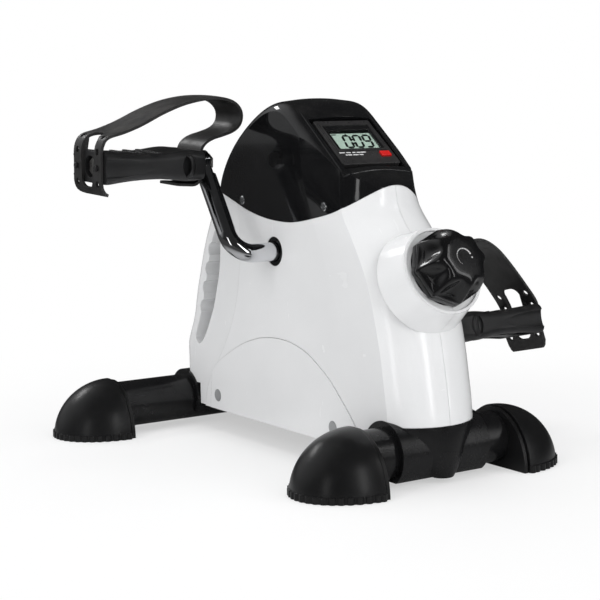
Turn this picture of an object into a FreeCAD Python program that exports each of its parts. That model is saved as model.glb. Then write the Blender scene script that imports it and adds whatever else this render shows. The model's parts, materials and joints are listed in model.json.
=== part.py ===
import FreeCAD, Part
import math
import os
from FreeCAD import Vector

os.makedirs("parts", exist_ok=True)

# Under-desk pedal exerciser: a hollow body on two cross tubes, a bent crank rod with two strapped
# pedals, a friction drum with a brake band tightened by a knob, and a display on the top cover.
# Modelling frame (mm): floor level midway between the base tubes, +X to the right, +Z up,
# -Y towards the user. The files are written moved by ORIGIN_Y along Y, which puts the origin
# under the middle of the whole object's box.

# ---------------------------------------------------------------- driving dimensions
ORIGIN_Y = 8.0

TUBE_Y = 157.0             # base tube axes at y = -TUBE_Y and +TUBE_Y
TUBE_Z = 24.0
TUBE_R = 21.0
TUBE_WALL = 1.6
PLUG = 17.0                # how deep a tube end sits in its cap
FRONT_RIM_X = 71.5         # inner rim of the front foot caps
REAR_RIM_X = 121.5         # inner rim of the rear foot caps
SADDLE_R = 25.9            # saddles round the tubes under the shell

HALF_W = 43.5              # half width of the flat side faces
WALL = 2.5                 # shell wall
SHELL_BOTTOM = 21.0
FRONT_EDGE_Z = 45.5        # lower edge of the shell front
HANDLE_HALF_W = 41.0       # half width of the rear handle part

CRANK_Y, CRANK_Z = -6.0, 172.0
ROD_R = 8.0
ARM_R = 90.5               # crank throw
ARM_X = 83.0               # arm centre line
ARM_BEND_R = 19.0
ARM_DIR_DEG = 33.5         # the left arm leans this far from vertical towards +Y
HOLE_R = 12.4              # crank holes in the shell
DRUM_R, DRUM_HALF = 38.0, 12.0

PEDAL_IN, PEDAL_OUT = 97.0, 188.0
PEDAL_PITCH = {-1: -3.0, 1: 12.5}  # degrees each pedal's front edge is turned up, by side
STRAP_T = 2.4
STRAP_HALF_Y = 25.0

KNOB_POINT = Vector(0, -189.0, 171.0)   # a point on the knob axis
KNOB_TILT = math.radians(26.0)          # the axis rises this much towards the user
KNOB_R = 32.0

CONSOLE_TOP = Vector(0, -43.4, 281.0)     # upper end of the sloping console plane
CONSOLE_BOTTOM = Vector(0, -95.7, 239.7)  # lower end
UNIT_HALF_W, UNIT_LEN = 28.0, 57.0

# screw places as (y, z)
LOW_SCREWS = [(93.0, 34.0), (-90.0, 34.0)]                  # into the spine, from each side
TOWERS = [(72.0, 150.0), (-100.0, 183.0), (-130.0, 88.0)]   # right half into left half
# tabs for the top cover screws: y, z, half width of the cover there
TABS = [(44.0, 213.5, 43.5), (-78.0, 212.5, 41.6)]

SIDES = ((-1, "left"), (1, "right"))    # sign of x and name
ACROSS = Vector(1, 0, 0)
DEPTH = Vector(0, 1, 0)
UP = Vector(0, 0, 1)


# ---------------------------------------------------------------- helpers
def save(name, shape):
    moved = shape.copy()
    moved.translate(Vector(0, ORIGIN_Y, 0))
    moved.exportStep("parts/%s.step" % name)


def cylinder(base, direction, radius, length):
    return Part.makeCylinder(radius, length, base, direction)


def cyl_x(x, y, z, radius, length, side=1):
    """Cylinder from x towards +X, or towards -X when side is -1."""
    return cylinder(Vector(x, y, z), Vector(side, 0, 0), radius, length)


def through_x(y, z, radius, reach):
    """Cylinder along X from -reach to +reach."""
    return cyl_x(-reach, y, z, radius, 2 * reach)


def tube_x(x, y, z, outer_r, inner_r, length):
    return cyl_x(x, y, z, outer_r, length).cut(cyl_x(x - 1.0, y, z, inner_r, length + 2))


def block(x0, x1, y0, y1, z0, z1):
    return Part.makeBox(x1 - x0, y1 - y0, z1 - z0, Vector(x0, y0, z0))


def side_block(side, near, far, y0, y1, z0, z1):
    """Block between two distances from the middle plane, on one side of it."""
    x0, x1 = sorted((side * near, side * far))
    return block(x0, x1, y0, y1, z0, z1)


def ellipsoid(centre_x, centre_y, radius_x, radius_y, radius_z):
    """Ellipsoid centred at z = 0."""
    matrix = FreeCAD.Matrix()
    matrix.scale(radius_x, radius_y, radius_z)
    shape = Part.makeSphere(1.0).transformGeometry(matrix)
    shape.translate(Vector(centre_x, centre_y, 0))
    return shape


def prism(points, extrusion):
    return Part.Face(Part.makePolygon(points + [points[0]])).extrude(extrusion)


def prism_yz(outline, x0, x1):
    return prism([Vector(x0, y, z) for y, z in outline], Vector(x1 - x0, 0, 0))


def hexagon_x(x, length):
    """Hexagon bar on the X axis, 13 across flats, with corners up and down."""
    radius = 13.0 / math.sqrt(3)
    angles = [math.radians(60 * k) for k in range(6)]
    points = [Vector(x, -radius * math.sin(a), radius * math.cos(a)) for a in angles]
    return prism(points, ACROSS * length)


def spline(points):
    curve = Part.BSplineCurve()
    curve.interpolate(points)
    return curve.toShape()


def closed_spline(points):
    curve = Part.BSplineCurve()
    curve.interpolate(points, PeriodicFlag=True)
    return Part.Wire([curve.toShape()])


def arc(start, middle, end):
    return Part.Arc(start, middle, end).toShape()


def lines(*points):
    """Straight edges from each point to the next."""
    return [Part.makeLine(a, b) for a, b in zip(points, points[1:])]


def mirrored(points):
    return [Vector(-p.x, p.y, p.z) for p in points]


def lookup(table, z):
    """Value at z from rows of (z, value) in rising z, held constant beyond the ends."""
    if z <= table[0][0]:
        return table[0][1]
    for (z0, value0), (z1, value1) in zip(table, table[1:]):
        if z <= z1:
            return value0 + (value1 - value0) * (z - z0) / (z1 - z0)
    return table[-1][1]


def smooth(table, z, reach=9.0):
    """The table averaged over z +- reach, so that the lofts have no hard kinks."""
    count = 7
    return sum(lookup(table, z - reach + 2 * reach * k / (count - 1)) for k in range(count)) / count


def fuse(shapes):
    return shapes[0].multiFuse(shapes[1:]).removeSplitter()


def largest(shape):
    """The single largest solid of a result."""
    return sorted(shape.Solids, key=lambda solid: -solid.Volume)[0]


def mirror_x(shape):
    return shape.mirror(Vector(0, 0, 0), ACROSS)


# ---------------------------------------------------------------- base tubes
def base_tube(y, rim):
    half = rim + PLUG
    return tube_x(-half, y, TUBE_Z, TUBE_R, TUBE_R - TUBE_WALL, 2 * half)


save("front_base_tube", base_tube(-TUBE_Y, FRONT_RIM_X))
save("rear_base_tube", base_tube(TUBE_Y, REAR_RIM_X))

# ---------------------------------------------------------------- foot caps
CAP_LEN = 53.5             # dome length outward from the rim
CAP_HALF_Y = 42.0
CAP_H = 49.5
CAP_WALL = 3.2
CAP_FLOOR = 2.6
COLLAR_LEN = 4.6           # collar inboard of the rim
NECK_LEN = 1.4             # groove between collar and dome
SCALLOPS = 23
SCALLOP_R, SCALLOP_H = 3.2, 5.5


def rim_section(y, rim, shrink):
    """Face of the dome at its rim, smaller all round by shrink."""
    dome = ellipsoid(rim, y, CAP_LEN, CAP_HALF_Y - shrink, CAP_H - shrink)
    slab = dome.common(block(rim, rim + 0.5, y - 60, y + 60, 0, 80))
    return [f for f in slab.Faces if abs(f.CenterOfMass.x - rim) < 1e-3][0]


def scallops(y, rim):
    """Short upright cylinders that give the foot flange its scalloped edge."""
    shapes = []
    for k in range(SCALLOPS):
        angle = math.radians(-90 + 180.0 * k / (SCALLOPS - 1))
        x = rim + max(2.6, (CAP_LEN - 2.2) * math.cos(angle))
        base = Vector(x, y + (CAP_HALF_Y - 1.4) * math.sin(angle), 0)
        shapes.append(cylinder(base, UP, SCALLOP_R, SCALLOP_H))
    return shapes


def foot_cap(y, rim):
    """Right hand cap: a quarter dome whose inner rim is at x = rim and whose dome runs to +X."""
    dome = ellipsoid(rim, y, CAP_LEN, CAP_HALF_Y, CAP_H).common(
        block(rim, rim + 80, y - 60, y + 60, 0, 80))
    collar = rim_section(y, rim, 1.6).extrude(Vector(-COLLAR_LEN, 0, 0))
    neck = rim_section(y, rim, 3.0).extrude(Vector(-NECK_LEN, 0, 0))
    collar = collar.cut(block(rim - NECK_LEN, rim + 1, y - 60, y + 60, -1, 80)).fuse(neck)
    outer = fuse([dome, collar] + scallops(y, rim))

    inner = ellipsoid(rim, y, CAP_LEN - CAP_WALL, CAP_HALF_Y - CAP_WALL, CAP_H - CAP_WALL)
    inner = inner.common(block(rim - 0.2, rim + 80, y - 60, y + 60, CAP_FLOOR, 80))
    # the sleeve round the tube and two crossing ribs are left standing in the cavity
    sleeve = cyl_x(rim - COLLAR_LEN, y, TUBE_Z, TUBE_R + 2.6, PLUG + 8.6)
    long_rib = block(rim + 1, rim + 40, y - 1.2, y + 1.2, 2, 46)
    cross_rib = block(rim + 14, rim + 16.4, y - 38, y + 38, 2, 46)
    cap = outer.cut(inner.cut(sleeve).cut(long_rib).cut(cross_rib))
    cap = cap.cut(cyl_x(rim - 6, y, TUBE_Z, TUBE_R + 0.03, PLUG + 6))
    cap = cap.common(block(rim - 10, rim + 80, y - 60, y + 60, 0, 80))
    return largest(cap)


for end, cap_y, cap_rim in (("front", -TUBE_Y, FRONT_RIM_X), ("rear", TUBE_Y, REAR_RIM_X)):
    right_cap = foot_cap(cap_y, cap_rim)
    save(end + "_right_foot_cap", right_cap)
    save(end + "_left_foot_cap", mirror_x(right_cap))

# ---------------------------------------------------------------- knob axis
KNOB_OUT = Vector(0, -math.cos(KNOB_TILT), math.sin(KNOB_TILT))  # out of the body
KNOB_UP = Vector(0, math.sin(KNOB_TILT), math.cos(KNOB_TILT))    # up, square to the axis


def on_knob_axis(back):
    """Point on the knob axis, this far back into the body from KNOB_POINT."""
    return KNOB_POINT - KNOB_OUT * back


def knob_cyl(back, radius, length):
    return cylinder(on_knob_axis(back), KNOB_OUT, radius, length)


def knob_cone(back, front, back_r, front_r):
    return Part.makeCone(back_r, front_r, back - front, on_knob_axis(back), KNOB_OUT)


def knob_block(front, back, half):
    """Square bar on the knob axis between two distances back from KNOB_POINT."""
    base = on_knob_axis(back)
    corners = ((-half, -half), (half, -half), (half, half), (-half, half))
    points = [base + ACROSS * a + KNOB_UP * b for a, b in corners]
    return prism(points, KNOB_OUT * (back - front))


# ---------------------------------------------------------------- steel frame
SPINE_HALF, SPINE_Z0, SPINE_Z1 = 15.0, 14.0, 40.0
SPINE_WALL = 2.0
PLATE_T = 3.0
HOUSE_RO, HOUSE_RI = 15.5, 11.5        # bearing housings of the crank
HOUSE_X0, HOUSE_X1 = 15.0, 35.0
ANCHOR_PIN_R = 3.0
ANCHOR_DEG = -25.0                     # fixed end of the brake band, angle round the crank
ANCHOR_REACH = 44.5
ANCHOR_Y = CRANK_Y + ANCHOR_REACH * math.cos(math.radians(ANCHOR_DEG))
ANCHOR_Z = CRANK_Z + ANCHOR_REACH * math.sin(math.radians(ANCHOR_DEG))
# upright side plate: y, z
PLATE = [(-50, 16), (38, 16), (38, 40), (44, 150), (41, 160), (12, 188), (-22, 188), (-32, 165),
         (-50, 40)]


def steel_frame():
    spine = block(-SPINE_HALF, SPINE_HALF, -TUBE_Y + 5, TUBE_Y - 5, SPINE_Z0, SPINE_Z1)
    spine = spine.cut(block(-SPINE_HALF + SPINE_WALL, SPINE_HALF - SPINE_WALL, -TUBE_Y, TUBE_Y,
                            SPINE_Z0 + SPINE_WALL, SPINE_Z1 - SPINE_WALL))
    for y in (-TUBE_Y, TUBE_Y):
        spine = spine.cut(through_x(y, TUBE_Z, TUBE_R, 60))
    bits = [spine]
    house_len = HOUSE_X1 - HOUSE_X0
    for plate_x, house_x in ((-SPINE_HALF - PLATE_T, -HOUSE_X1), (SPINE_HALF, HOUSE_X0)):
        bits.append(prism_yz(PLATE, plate_x, plate_x + PLATE_T))
        bits.append(cyl_x(house_x, CRANK_Y, CRANK_Z, HOUSE_RO, house_len))
    nut_guide = knob_block(46, 84, 9.5)
    strut = block(-8, 8, -117, -111, SPINE_Z1 - 1, 128)
    frame = fuse(bits + [nut_guide, strut])
    frame = frame.cut(knob_block(40, 90, 7.15))
    for house_x in (-HOUSE_X1, HOUSE_X0):
        frame = frame.cut(cyl_x(house_x - 1, CRANK_Y, CRANK_Z, HOUSE_RI, house_len + 2))
    frame = frame.cut(through_x(ANCHOR_Y, ANCHOR_Z, ANCHOR_PIN_R, 30))
    for y, z in LOW_SCREWS:
        frame = frame.cut(through_x(y, z, 1.95, 30))
    return largest(frame)


save("steel_frame", steel_frame())

# ---------------------------------------------------------------- tube saddles
# tongue ahead of the front tube, narrowing downwards: z, half width, y at the edges, y mid-front
TONGUE = [(FRONT_EDGE_Z, 42.0, -164.5, -186.5), (34.0, 35.5, -167.5, -187.0),
          (22.0, 26.0, -171.0, -187.0), (11.0, 16.0, -175.0, -186.3), (4.0, 9.0, -177.0, -184.5)]
SPINE_SLOT = SPINE_HALF + 0.2          # half width of the slot that clears the spine


def ring_saddle(y):
    x = HALF_W - 0.4
    return tube_x(-x, y, TUBE_Z, SADDLE_R, TUBE_R + 0.03, 2 * x)


def tongue():
    sections = []
    for z, half, edge_y, front_y in TONGUE:
        left, right = Vector(-half, edge_y, z), Vector(half, edge_y, z)
        sections.append(Part.Wire(
            [arc(left, Vector(0, front_y, z), right)]
            + lines(right, Vector(half, -TUBE_Y, z), Vector(-half, -TUBE_Y, z), left)))
    return Part.makeLoft(sections, True, False)


def front_saddle():
    saddle = fuse([ring_saddle(-TUBE_Y), tongue()])
    saddle = saddle.cut(through_x(-TUBE_Y, TUBE_Z, TUBE_R + 0.03, 60))
    saddle = saddle.cut(block(-50, 50, -TUBE_Y, 0, -5, 12))
    saddle = saddle.cut(block(-SPINE_SLOT, SPINE_SLOT, -TUBE_Y + 2, 0, 8, 42))
    return largest(saddle.cut(block(-60, 60, -200, -100, -5, 3.4)))


def rear_saddle():
    saddle = ring_saddle(TUBE_Y).cut(block(-50, 50, 100, 200, -5, 12))
    return largest(saddle.cut(block(-SPINE_SLOT, SPINE_SLOT, 0, TUBE_Y - 2, 8, 42)))


save("front_tube_saddle", front_saddle())
save("rear_tube_saddle", rear_saddle())

# ---------------------------------------------------------------- body outline
# y of the crease between side and bowed front, by z
FRONT_CREASE = [(20, -166), (49, -164), (67, -162), (86, -158.5), (105, -155), (124, -150),
                (143, -144.5), (155, -140), (166, -134), (177, -127), (188, -119.5),
                (197, -112.5), (209, -101), (222, -98), (240, -95.5), (310, -95)]
# half width at that crease, by z
CREASE_X = [(20, 42.5), (150, 42.5), (190, 41.8), (209, 40.0), (225, 37.2), (240, 35.6),
            (310, 35.4)]
# y where the side faces start to taper towards the crease, by z
TAPER_Y = [(20, -120), (140, -95), (180, -75), (204, -63), (236, -50), (310, -44)]
# how far the front bows out ahead of the crease, by z
BULGE = [(20, 22), (195, 22), (211, 21.5), (228, 22.5), (240, 22), (310, 22)]
# y of the back of the main body, where the handle part begins, by z
REAR_CREASE = [(20, 118), (45, 111), (59, 98), (75, 85), (96, 70), (120, 59), (138, 54),
               (161, 50), (183, 49), (203, 50), (240, 52), (310, 52)]
# y of the back of the handle part, by z
REAR_OUT = [(20, 155), (50, 157), (72, 157), (84, 154), (95, 148), (106, 143), (118, 140),
            (127, 138), (146, 131), (165, 124.5), (180, 117.5), (195, 109.5), (221, 95), (240, 85)]
BODY_LEVELS = [20, 34, 49, 67, 86, 105, 124, 143, 160, 177, 190, 202, 214, 226, 238]


def main_plan(z, inset, rear_y):
    """Plan of the main body at height z, moved inward by inset."""
    half = HALF_W - inset
    crease_x = smooth(CREASE_X, z) - inset
    crease_y = smooth(FRONT_CREASE, z) + inset * 0.9
    taper_y = smooth(TAPER_Y, z)
    front_y = crease_y - inset * 0.9 - smooth(BULGE, z) + inset
    bevel = 2.6
    left = [Vector(-half, rear_y, z), Vector(-half, taper_y, z),
            Vector(-crease_x, crease_y + bevel, z), Vector(-crease_x + bevel, crease_y - 0.8, z)]
    right = mirrored(left)
    return Part.Wire(lines(*left) + [arc(left[3], Vector(0, front_y, z), right[3])]
                     + lines(*right[::-1], left[0]))


def handle_plan(z, inset):
    """Plan of the handle part at height z, with rounded rear corners."""
    half = HANDLE_HALF_W - inset
    rear_y = smooth(REAR_OUT, z, 6.0) - inset
    front_y = smooth(REAR_CREASE, z) - 16.0
    radius = 10.0 - inset * 0.6
    mid = radius * (1 - math.sqrt(0.5))
    left = [Vector(-half, front_y, z), Vector(-half, rear_y - radius, z),
            Vector(-half + mid, rear_y - mid, z), Vector(-half + radius, rear_y, z)]
    right = mirrored(left)
    return Part.Wire(lines(left[0], left[1]) + [arc(*left[1:])] + lines(left[3], right[3])
                     + [arc(*right[:0:-1])] + lines(right[1], right[0], left[0]))


def main_loft(inset):
    plans = [main_plan(z, inset, smooth(REAR_CREASE, z) - inset) for z in BODY_LEVELS]
    return Part.makeLoft(plans, True, False)


def handle_loft(inset):
    return Part.makeLoft([handle_plan(z, inset) for z in BODY_LEVELS], True, False)


# seam between the shells and the top cover in side view, from the back: y, z
TOP_SEAM = [(125, 238), (105, 229), (85, 221), (65, 214.5), (48, 209), (32, 204.5), (15, 201),
            (0, 199), (-16, 198), (-31, 198), (-46, 199.5), (-61, 202), (-76, 205), (-90, 208.5),
            (-101, 213), (-110, 219.5), (-118, 228), (-124, 238), (-128, 250)]


def below_top_seam(raised):
    """Everything under the top seam, with the seam raised by this much."""
    seam = [Vector(-80, y, z + raised) for y, z in TOP_SEAM]
    around = lines(seam[-1], Vector(-80, -230, seam[-1].z), Vector(-80, -230, -20),
                   Vector(-80, 230, -20), Vector(-80, 230, seam[0].z), seam[0])
    return Part.Face(Part.Wire([spline(seam)] + around)).extrude(Vector(160, 0, 0))


# ---------------------------------------------------------------- body shells
BOSS_BACK, BOSS_FACE = 34.0, 14.0      # knob boss, distances back along the knob axis
# carry slot at the rear in side view: y, z, anticlockwise with +Y to the right
SLOT = [(88, 181), (88.5, 160), (92, 142), (97, 127), (103, 112), (111, 98), (119, 86),
        (126, 79), (132, 77.5), (136, 81), (134.5, 88), (129, 99), (124, 110), (118.5, 126),
        (113, 143), (106.5, 163), (100, 179), (94, 184.5)]
# finger hollows in the rear wall of the slot: y, z
HOLLOWS = [(102.0, 166.0), (108.5, 148.0), (114.0, 130.0), (119.5, 112.0)]
HOLLOW_R = 7.0


def slot_prism(grow):
    """The carry slot right across the body, grown outward by this much."""
    points = []
    for i, (y, z) in enumerate(SLOT):
        before, after = SLOT[i - 1], SLOT[(i + 1) % len(SLOT)]
        run_y, run_z = after[0] - before[0], after[1] - before[1]
        size = math.hypot(run_y, run_z)
        points.append(Vector(-60, y + run_z / size * grow, z - run_y / size * grow))
    slot = Part.Face(closed_spline(points)).extrude(Vector(120, 0, 0))
    return slot.multiFuse([through_x(y, z, HOLLOW_R + grow, 60) for y, z in HOLLOWS])


# seam of the lower side covers, from the back: y, z
COVER_ARC = [(103, 56), (89, 67), (71, 76.5), (53, 85), (36, 91), (20, 95), (7, 97), (-13, 98),
             (-28, 97), (-43, 94), (-58, 89), (-72, 81.5), (-86, 73), (-100, 61), (-114, 48),
             (-121.5, 39.5)]
POCKET_X = HALF_W - 1.1                # floor of the pocket the side cover sits in


def cover_prism(x0, x1, bottom, inset):
    """Region under the side cover seam, drawn in by inset."""
    points = [Vector(x0, y * (1 - inset / 110.0), z - inset) for y, z in COVER_ARC]
    back, front = points[0], points[-1]
    around = lines(front, Vector(x0, front.y + 1.5, bottom), Vector(x0, back.y + 4.0, bottom),
                   back)
    return Part.Face(Part.Wire([spline(points)] + around)).extrude(Vector(x1 - x0, 0, 0))


def whole_shell(outer_main, outer_handle):
    """Both halves of the shell in one, before they are split at x = 0."""
    boss_out = knob_cone(BOSS_BACK + 6, BOSS_FACE, 42.5, 35.5)
    boss_in = knob_cone(BOSS_BACK + 6, BOSS_FACE + WALL, 40.0, 33.6)
    boss_lip = knob_cyl(BOSS_FACE, 35.5, 2.2).cut(knob_cyl(BOSS_FACE + 1, 33.2, 5))
    outer = outer_main.multiFuse([outer_handle, boss_out])
    cavity = main_loft(WALL).multiFuse([handle_loft(WALL), boss_in]).cut(slot_prism(2.4))
    shell = outer.cut(cavity).cut(slot_prism(0.0)).fuse(boss_lip)
    # clearances for the saddles, the bottom edge, the top cover, the crank and the knob screw
    for y in (-TUBE_Y, TUBE_Y):
        shell = shell.cut(through_x(y, TUBE_Z, SADDLE_R + 0.1, 80))
    shell = shell.cut(block(-80, 80, -230, -TUBE_Y, -10, FRONT_EDGE_Z + 0.1))
    shell = shell.cut(block(-80, 80, -200, 200, -10, SHELL_BOTTOM))
    shell = shell.cut(block(-80, 80, 130, 200, -10, 40))
    shell = shell.common(below_top_seam(-0.3))
    shell = shell.cut(through_x(CRANK_Y, CRANK_Z, HOLE_R + 0.05, 80))
    shell = shell.cut(knob_cyl(60, 6.2, 60))
    for x0, x1 in ((-60, -POCKET_X), (POCKET_X, 60)):
        shell = shell.cut(cover_prism(x0, x1, SHELL_BOTTOM - 2, 0.0))
    return shell


TOWER_R = 5.0                          # screw towers inside the shell
TOWER_SEAT_X = 12.0                    # head seat of the tower screws, in the right half
LOW_SEAT_X = 38.2                      # head seat of the low screws


def half_shell(side, shell, inside):
    half = largest(shell.common(side_block(side, 0.05, 80, -240, 240, -10, 260)))
    bits = []
    for y, z in TOWERS:
        bits.append(cyl_x(0.05 * side, y, z, TOWER_R, HALF_W - 1.6, side).common(inside))
    for y, z in LOW_SCREWS:
        bits.append(cyl_x((SPINE_HALF + 0.1) * side, y, z, TOWER_R,
                          POCKET_X - SPINE_HALF - 0.12, side))
    for y, z, half_w in TABS:
        bits.append(side_block(side, half_w - 8.0, half_w - WALL - 0.45,
                               y - 5, y + 5, z - 26, z + 4.5))
    half = fuse([half] + bits)
    for y, z in TOWERS:
        if side > 0:
            half = half.cut(cyl_x(0, y, z, 1.9, 80)).cut(cyl_x(TOWER_SEAT_X, y, z, 4.2, 80))
        else:
            half = half.cut(cyl_x(-22, y, z, 1.42, 30))
    for y, z in LOW_SCREWS:
        half = half.cut(cyl_x(0, y, z, 2.0, 60, side))
        half = half.cut(cyl_x(LOW_SEAT_X * side, y, z, 4.0, 20, side))
    for y, z, _ in TABS:
        half = half.cut(through_x(y, z, 1.5, 80))
    return largest(half)


body_main, body_handle = main_loft(0.0), handle_loft(0.0)
body_shell = whole_shell(body_main, body_handle)
body_inside = body_main.fuse(body_handle)
for side, side_name in SIDES:
    save(side_name + "_body_shell", half_shell(side, body_shell, body_inside))


# ---------------------------------------------------------------- lower side covers
def side_cover(side):
    """Cover in the side pocket, standing slightly proud of the shell."""
    x0, x1 = sorted((side * (POCKET_X + 0.01), side * (HALF_W + 0.7)))
    cover = cover_prism(x0, x1, SHELL_BOTTOM, 0.35)
    for y, z in LOW_SCREWS:
        cover = cover.cut(through_x(y, z, 5.55, 80))
    for y in (-TUBE_Y, TUBE_Y):
        cover = cover.cut(through_x(y, TUBE_Z, SADDLE_R + 0.4, 80))
    return largest(cover)


for side, side_name in SIDES:
    save(side_name + "_side_cover", side_cover(side))

# ---------------------------------------------------------------- shell screws and plugs
HEAD_R = 3.6


def screwdriver_slot(side, near, far, y, z):
    return side_block(side, near, far, y - 2.6, y + 2.6, z - 0.45, z + 0.45)


def tower_screw(y, z):
    """Screw driven from the right, through the right half into the left half."""
    head = cyl_x(TOWER_SEAT_X + 0.05, y, z, HEAD_R, 3.0)
    head = head.cut(screwdriver_slot(1, TOWER_SEAT_X + 2.0, TOWER_SEAT_X + 3.2, y, z))
    return head.fuse(cyl_x(-20.0, y, z, 1.38, 32.1))


def low_screw(side, y, z):
    """Screw driven from one side into the frame spine."""
    head = cyl_x(side * (LOW_SEAT_X + 0.02), y, z, HEAD_R, 2.6, side)
    head = head.cut(screwdriver_slot(side, LOW_SEAT_X + 1.6, LOW_SEAT_X + 3.0, y, z))
    return head.fuse(cyl_x(side * (SPINE_HALF - 1.9), y, z, 1.9,
                           LOW_SEAT_X - SPINE_HALF + 2.0, side))


def screw_plug(side, y, z):
    """Disc over a low screw, just proud of the side cover."""
    x = POCKET_X + 0.02 if side > 0 else -HALF_W - 0.9
    return cyl_x(x, y, z, 5.4, HALF_W + 0.9 - POCKET_X - 0.02)


low_places = [(side, y, z) for side, _ in SIDES for y, z in LOW_SCREWS]
save("shell_screws", Part.makeCompound([tower_screw(y, z) for y, z in TOWERS]
                                       + [low_screw(*place) for place in low_places]))
save("screw_plugs", Part.makeCompound([screw_plug(*place) for place in low_places]))

# ---------------------------------------------------------------- console plane
CONSOLE_DOWN = CONSOLE_BOTTOM - CONSOLE_TOP
CONSOLE_DOWN = CONSOLE_DOWN * (1.0 / CONSOLE_DOWN.Length)         # unit vector down the slope
CONSOLE_OUT = Vector(0, CONSOLE_DOWN.z, -CONSOLE_DOWN.y)          # square to the plane, upward


def on_console(x, down, out):
    return CONSOLE_TOP + ACROSS * x + CONSOLE_DOWN * down + CONSOLE_OUT * out


def console_prism(corners, low, high):
    """Prism on the console plane from (x, down) corners, between two heights above it."""
    return prism([on_console(x, down, low) for x, down in corners], CONSOLE_OUT * (high - low))


def console_block(half, start, end, low, high, end_half=None):
    """Centred block; end_half is the half width at its lower end where it differs."""
    end_half = half if end_half is None else end_half
    return console_prism([(-half, start), (half, start), (end_half, end), (-end_half, end)],
                         low, high)


def console_patch(x0, x1, start, end, low, high):
    return console_prism([(x0, start), (x1, start), (x1, end), (x0, end)], low, high)


# ---------------------------------------------------------------- top cover
# middle section of the crown from the back over the top to the console: y, z
CROWN = [(93.5, 190), (93, 214), (90, 228), (82, 244), (67, 262), (44, 280), (20, 293),
         (0, 299.3), (-12, 300), (-24, 297.3), (-36, 290.4), (-45.2, 283.3)]
# middle section from the lower end of the console down the front: y, z
CHIN = [(-97.5, 242.0), (-104, 238.6), (-111, 234.2), (-117.5, 228.5), (-121.5, 221),
        (-124, 190)]
COVER_BASE_Z = 180
COVER_LEVELS = [185, 196, 208, 220, 232, 244, 262, 285, 310]
POCKET_DEPTH = 6.5                     # console pocket


def inward_normals(points):
    """Unit normals at each point, to the left of the direction of travel."""
    normals = []
    for i in range(len(points)):
        before, after = points[max(0, i - 1)], points[min(len(points) - 1, i + 1)]
        run_y, run_z = after[0] - before[0], after[1] - before[1]
        size = math.hypot(run_y, run_z)
        normals.append((-run_z / size, run_y / size))
    return normals


def crown_section(x, inset):
    """Closed section of the cover at x; the crown falls away towards the sides."""
    from_middle = abs(x)
    drop = from_middle * from_middle / 420.0 + inset
    if from_middle > 34.5:
        drop += 10.0 - math.sqrt(max(0.0, 100.0 - (from_middle - 34.5) ** 2))

    def dropped(points, normals):
        return [Vector(x, y + normal[0] * drop, z + normal[1] * drop)
                for (y, z), normal in zip(points, normals)]

    # each curve's end normal takes in the console flat, which so stays parallel to itself
    crown = dropped(CROWN, inward_normals(CROWN + [CHIN[0]]))
    chin = dropped(CHIN, inward_normals([CROWN[-1]] + CHIN)[1:])
    base = lines(chin[-1], Vector(x, chin[-1].y, COVER_BASE_Z),
                 Vector(x, crown[0].y, COVER_BASE_Z), crown[0])
    return Part.Wire([spline(crown)] + lines(crown[-1], chin[0]) + [spline(chin)] + base)


def crown_loft(inset, outer_stations):
    stations = [0, 15, 28, 35, 39] + outer_stations
    stations = [-x for x in stations[:0:-1]] + stations
    return Part.makeLoft([crown_section(x, inset) for x in stations], True, False)


def plan_loft(inset):
    return Part.makeLoft([main_plan(z, inset, 100.0) for z in COVER_LEVELS], True, False)


def top_cover():
    outer = crown_loft(0.0, [42, 44]).common(plan_loft(0.0))
    inner = crown_loft(WALL, [43.2]).common(plan_loft(WALL))
    pocket = console_block(31.6, -1.5, 63.0, -POCKET_DEPTH, 30.0, end_half=30.2)
    pocket_wall = console_block(34.0, -4.0, 65.4, -POCKET_DEPTH - 2.2, 30.0, end_half=32.6)
    cover = outer.cut(inner.cut(pocket_wall)).cut(pocket)
    cover = cover.cut(below_top_seam(0.0))
    cable_hole = console_block(4, 24, 32, -POCKET_DEPTH - 6, 0)
    cover = cover.cut(cable_hole)
    for side, _ in SIDES:
        for y, z, half_w in TABS:
            cover = cover.cut(cyl_x(-80 if side < 0 else 20, y, z, 1.8, 60))
            cover = cover.cut(cyl_x(side * (half_w - 1.3), y, z, 3.9, 20, side))
    return largest(cover)


def top_cover_screw(side, y, z, half_w):
    """Round-headed screw with a cross recess."""
    face_x = half_w + 0.72
    head = cyl_x(side * (half_w - 1.28), y, z, 3.7, 2.0, side)
    head = head.makeFillet(0.9, [e for e in head.Edges
                                 if abs(abs(e.CenterOfMass.x) - face_x) < 1e-3
                                 and e.Length > 15])
    near, far = half_w + 0.1, half_w + 1.1
    cross = side_block(side, near, far, y - 2.2, y + 2.2, z - 0.45, z + 0.45).fuse(
        side_block(side, near, far, y - 0.45, y + 0.45, z - 2.2, z + 2.2))
    shank = cyl_x(side * (half_w - 1.2), y, z, 1.48, 8.0, -side)
    return head.fuse(shank).cut(cross)


save("top_cover", top_cover())
save("top_cover_screws",
     Part.makeCompound([top_cover_screw(side, *tab) for side, _ in SIDES for tab in TABS]))

# ---------------------------------------------------------------- display unit
# heights are above the console plane, "start" and "end" run down its slope
UNIT_LOW, UNIT_HIGH = -POCKET_DEPTH + 0.02, 0.8
WINDOW_HALF, WINDOW_START, WINDOW_END = 20.5, 13.5, 37.5
BUTTON_X0, BUTTON_X1, BUTTON_START, BUTTON_END = 14.6, 24.2, 43.0, 48.6


def height_over_console(point):
    return (point - CONSOLE_TOP).dot(CONSOLE_OUT)


def upright(edge):
    return abs((edge.Vertexes[0].Point - edge.Vertexes[1].Point).dot(CONSOLE_OUT)) > 5


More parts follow.
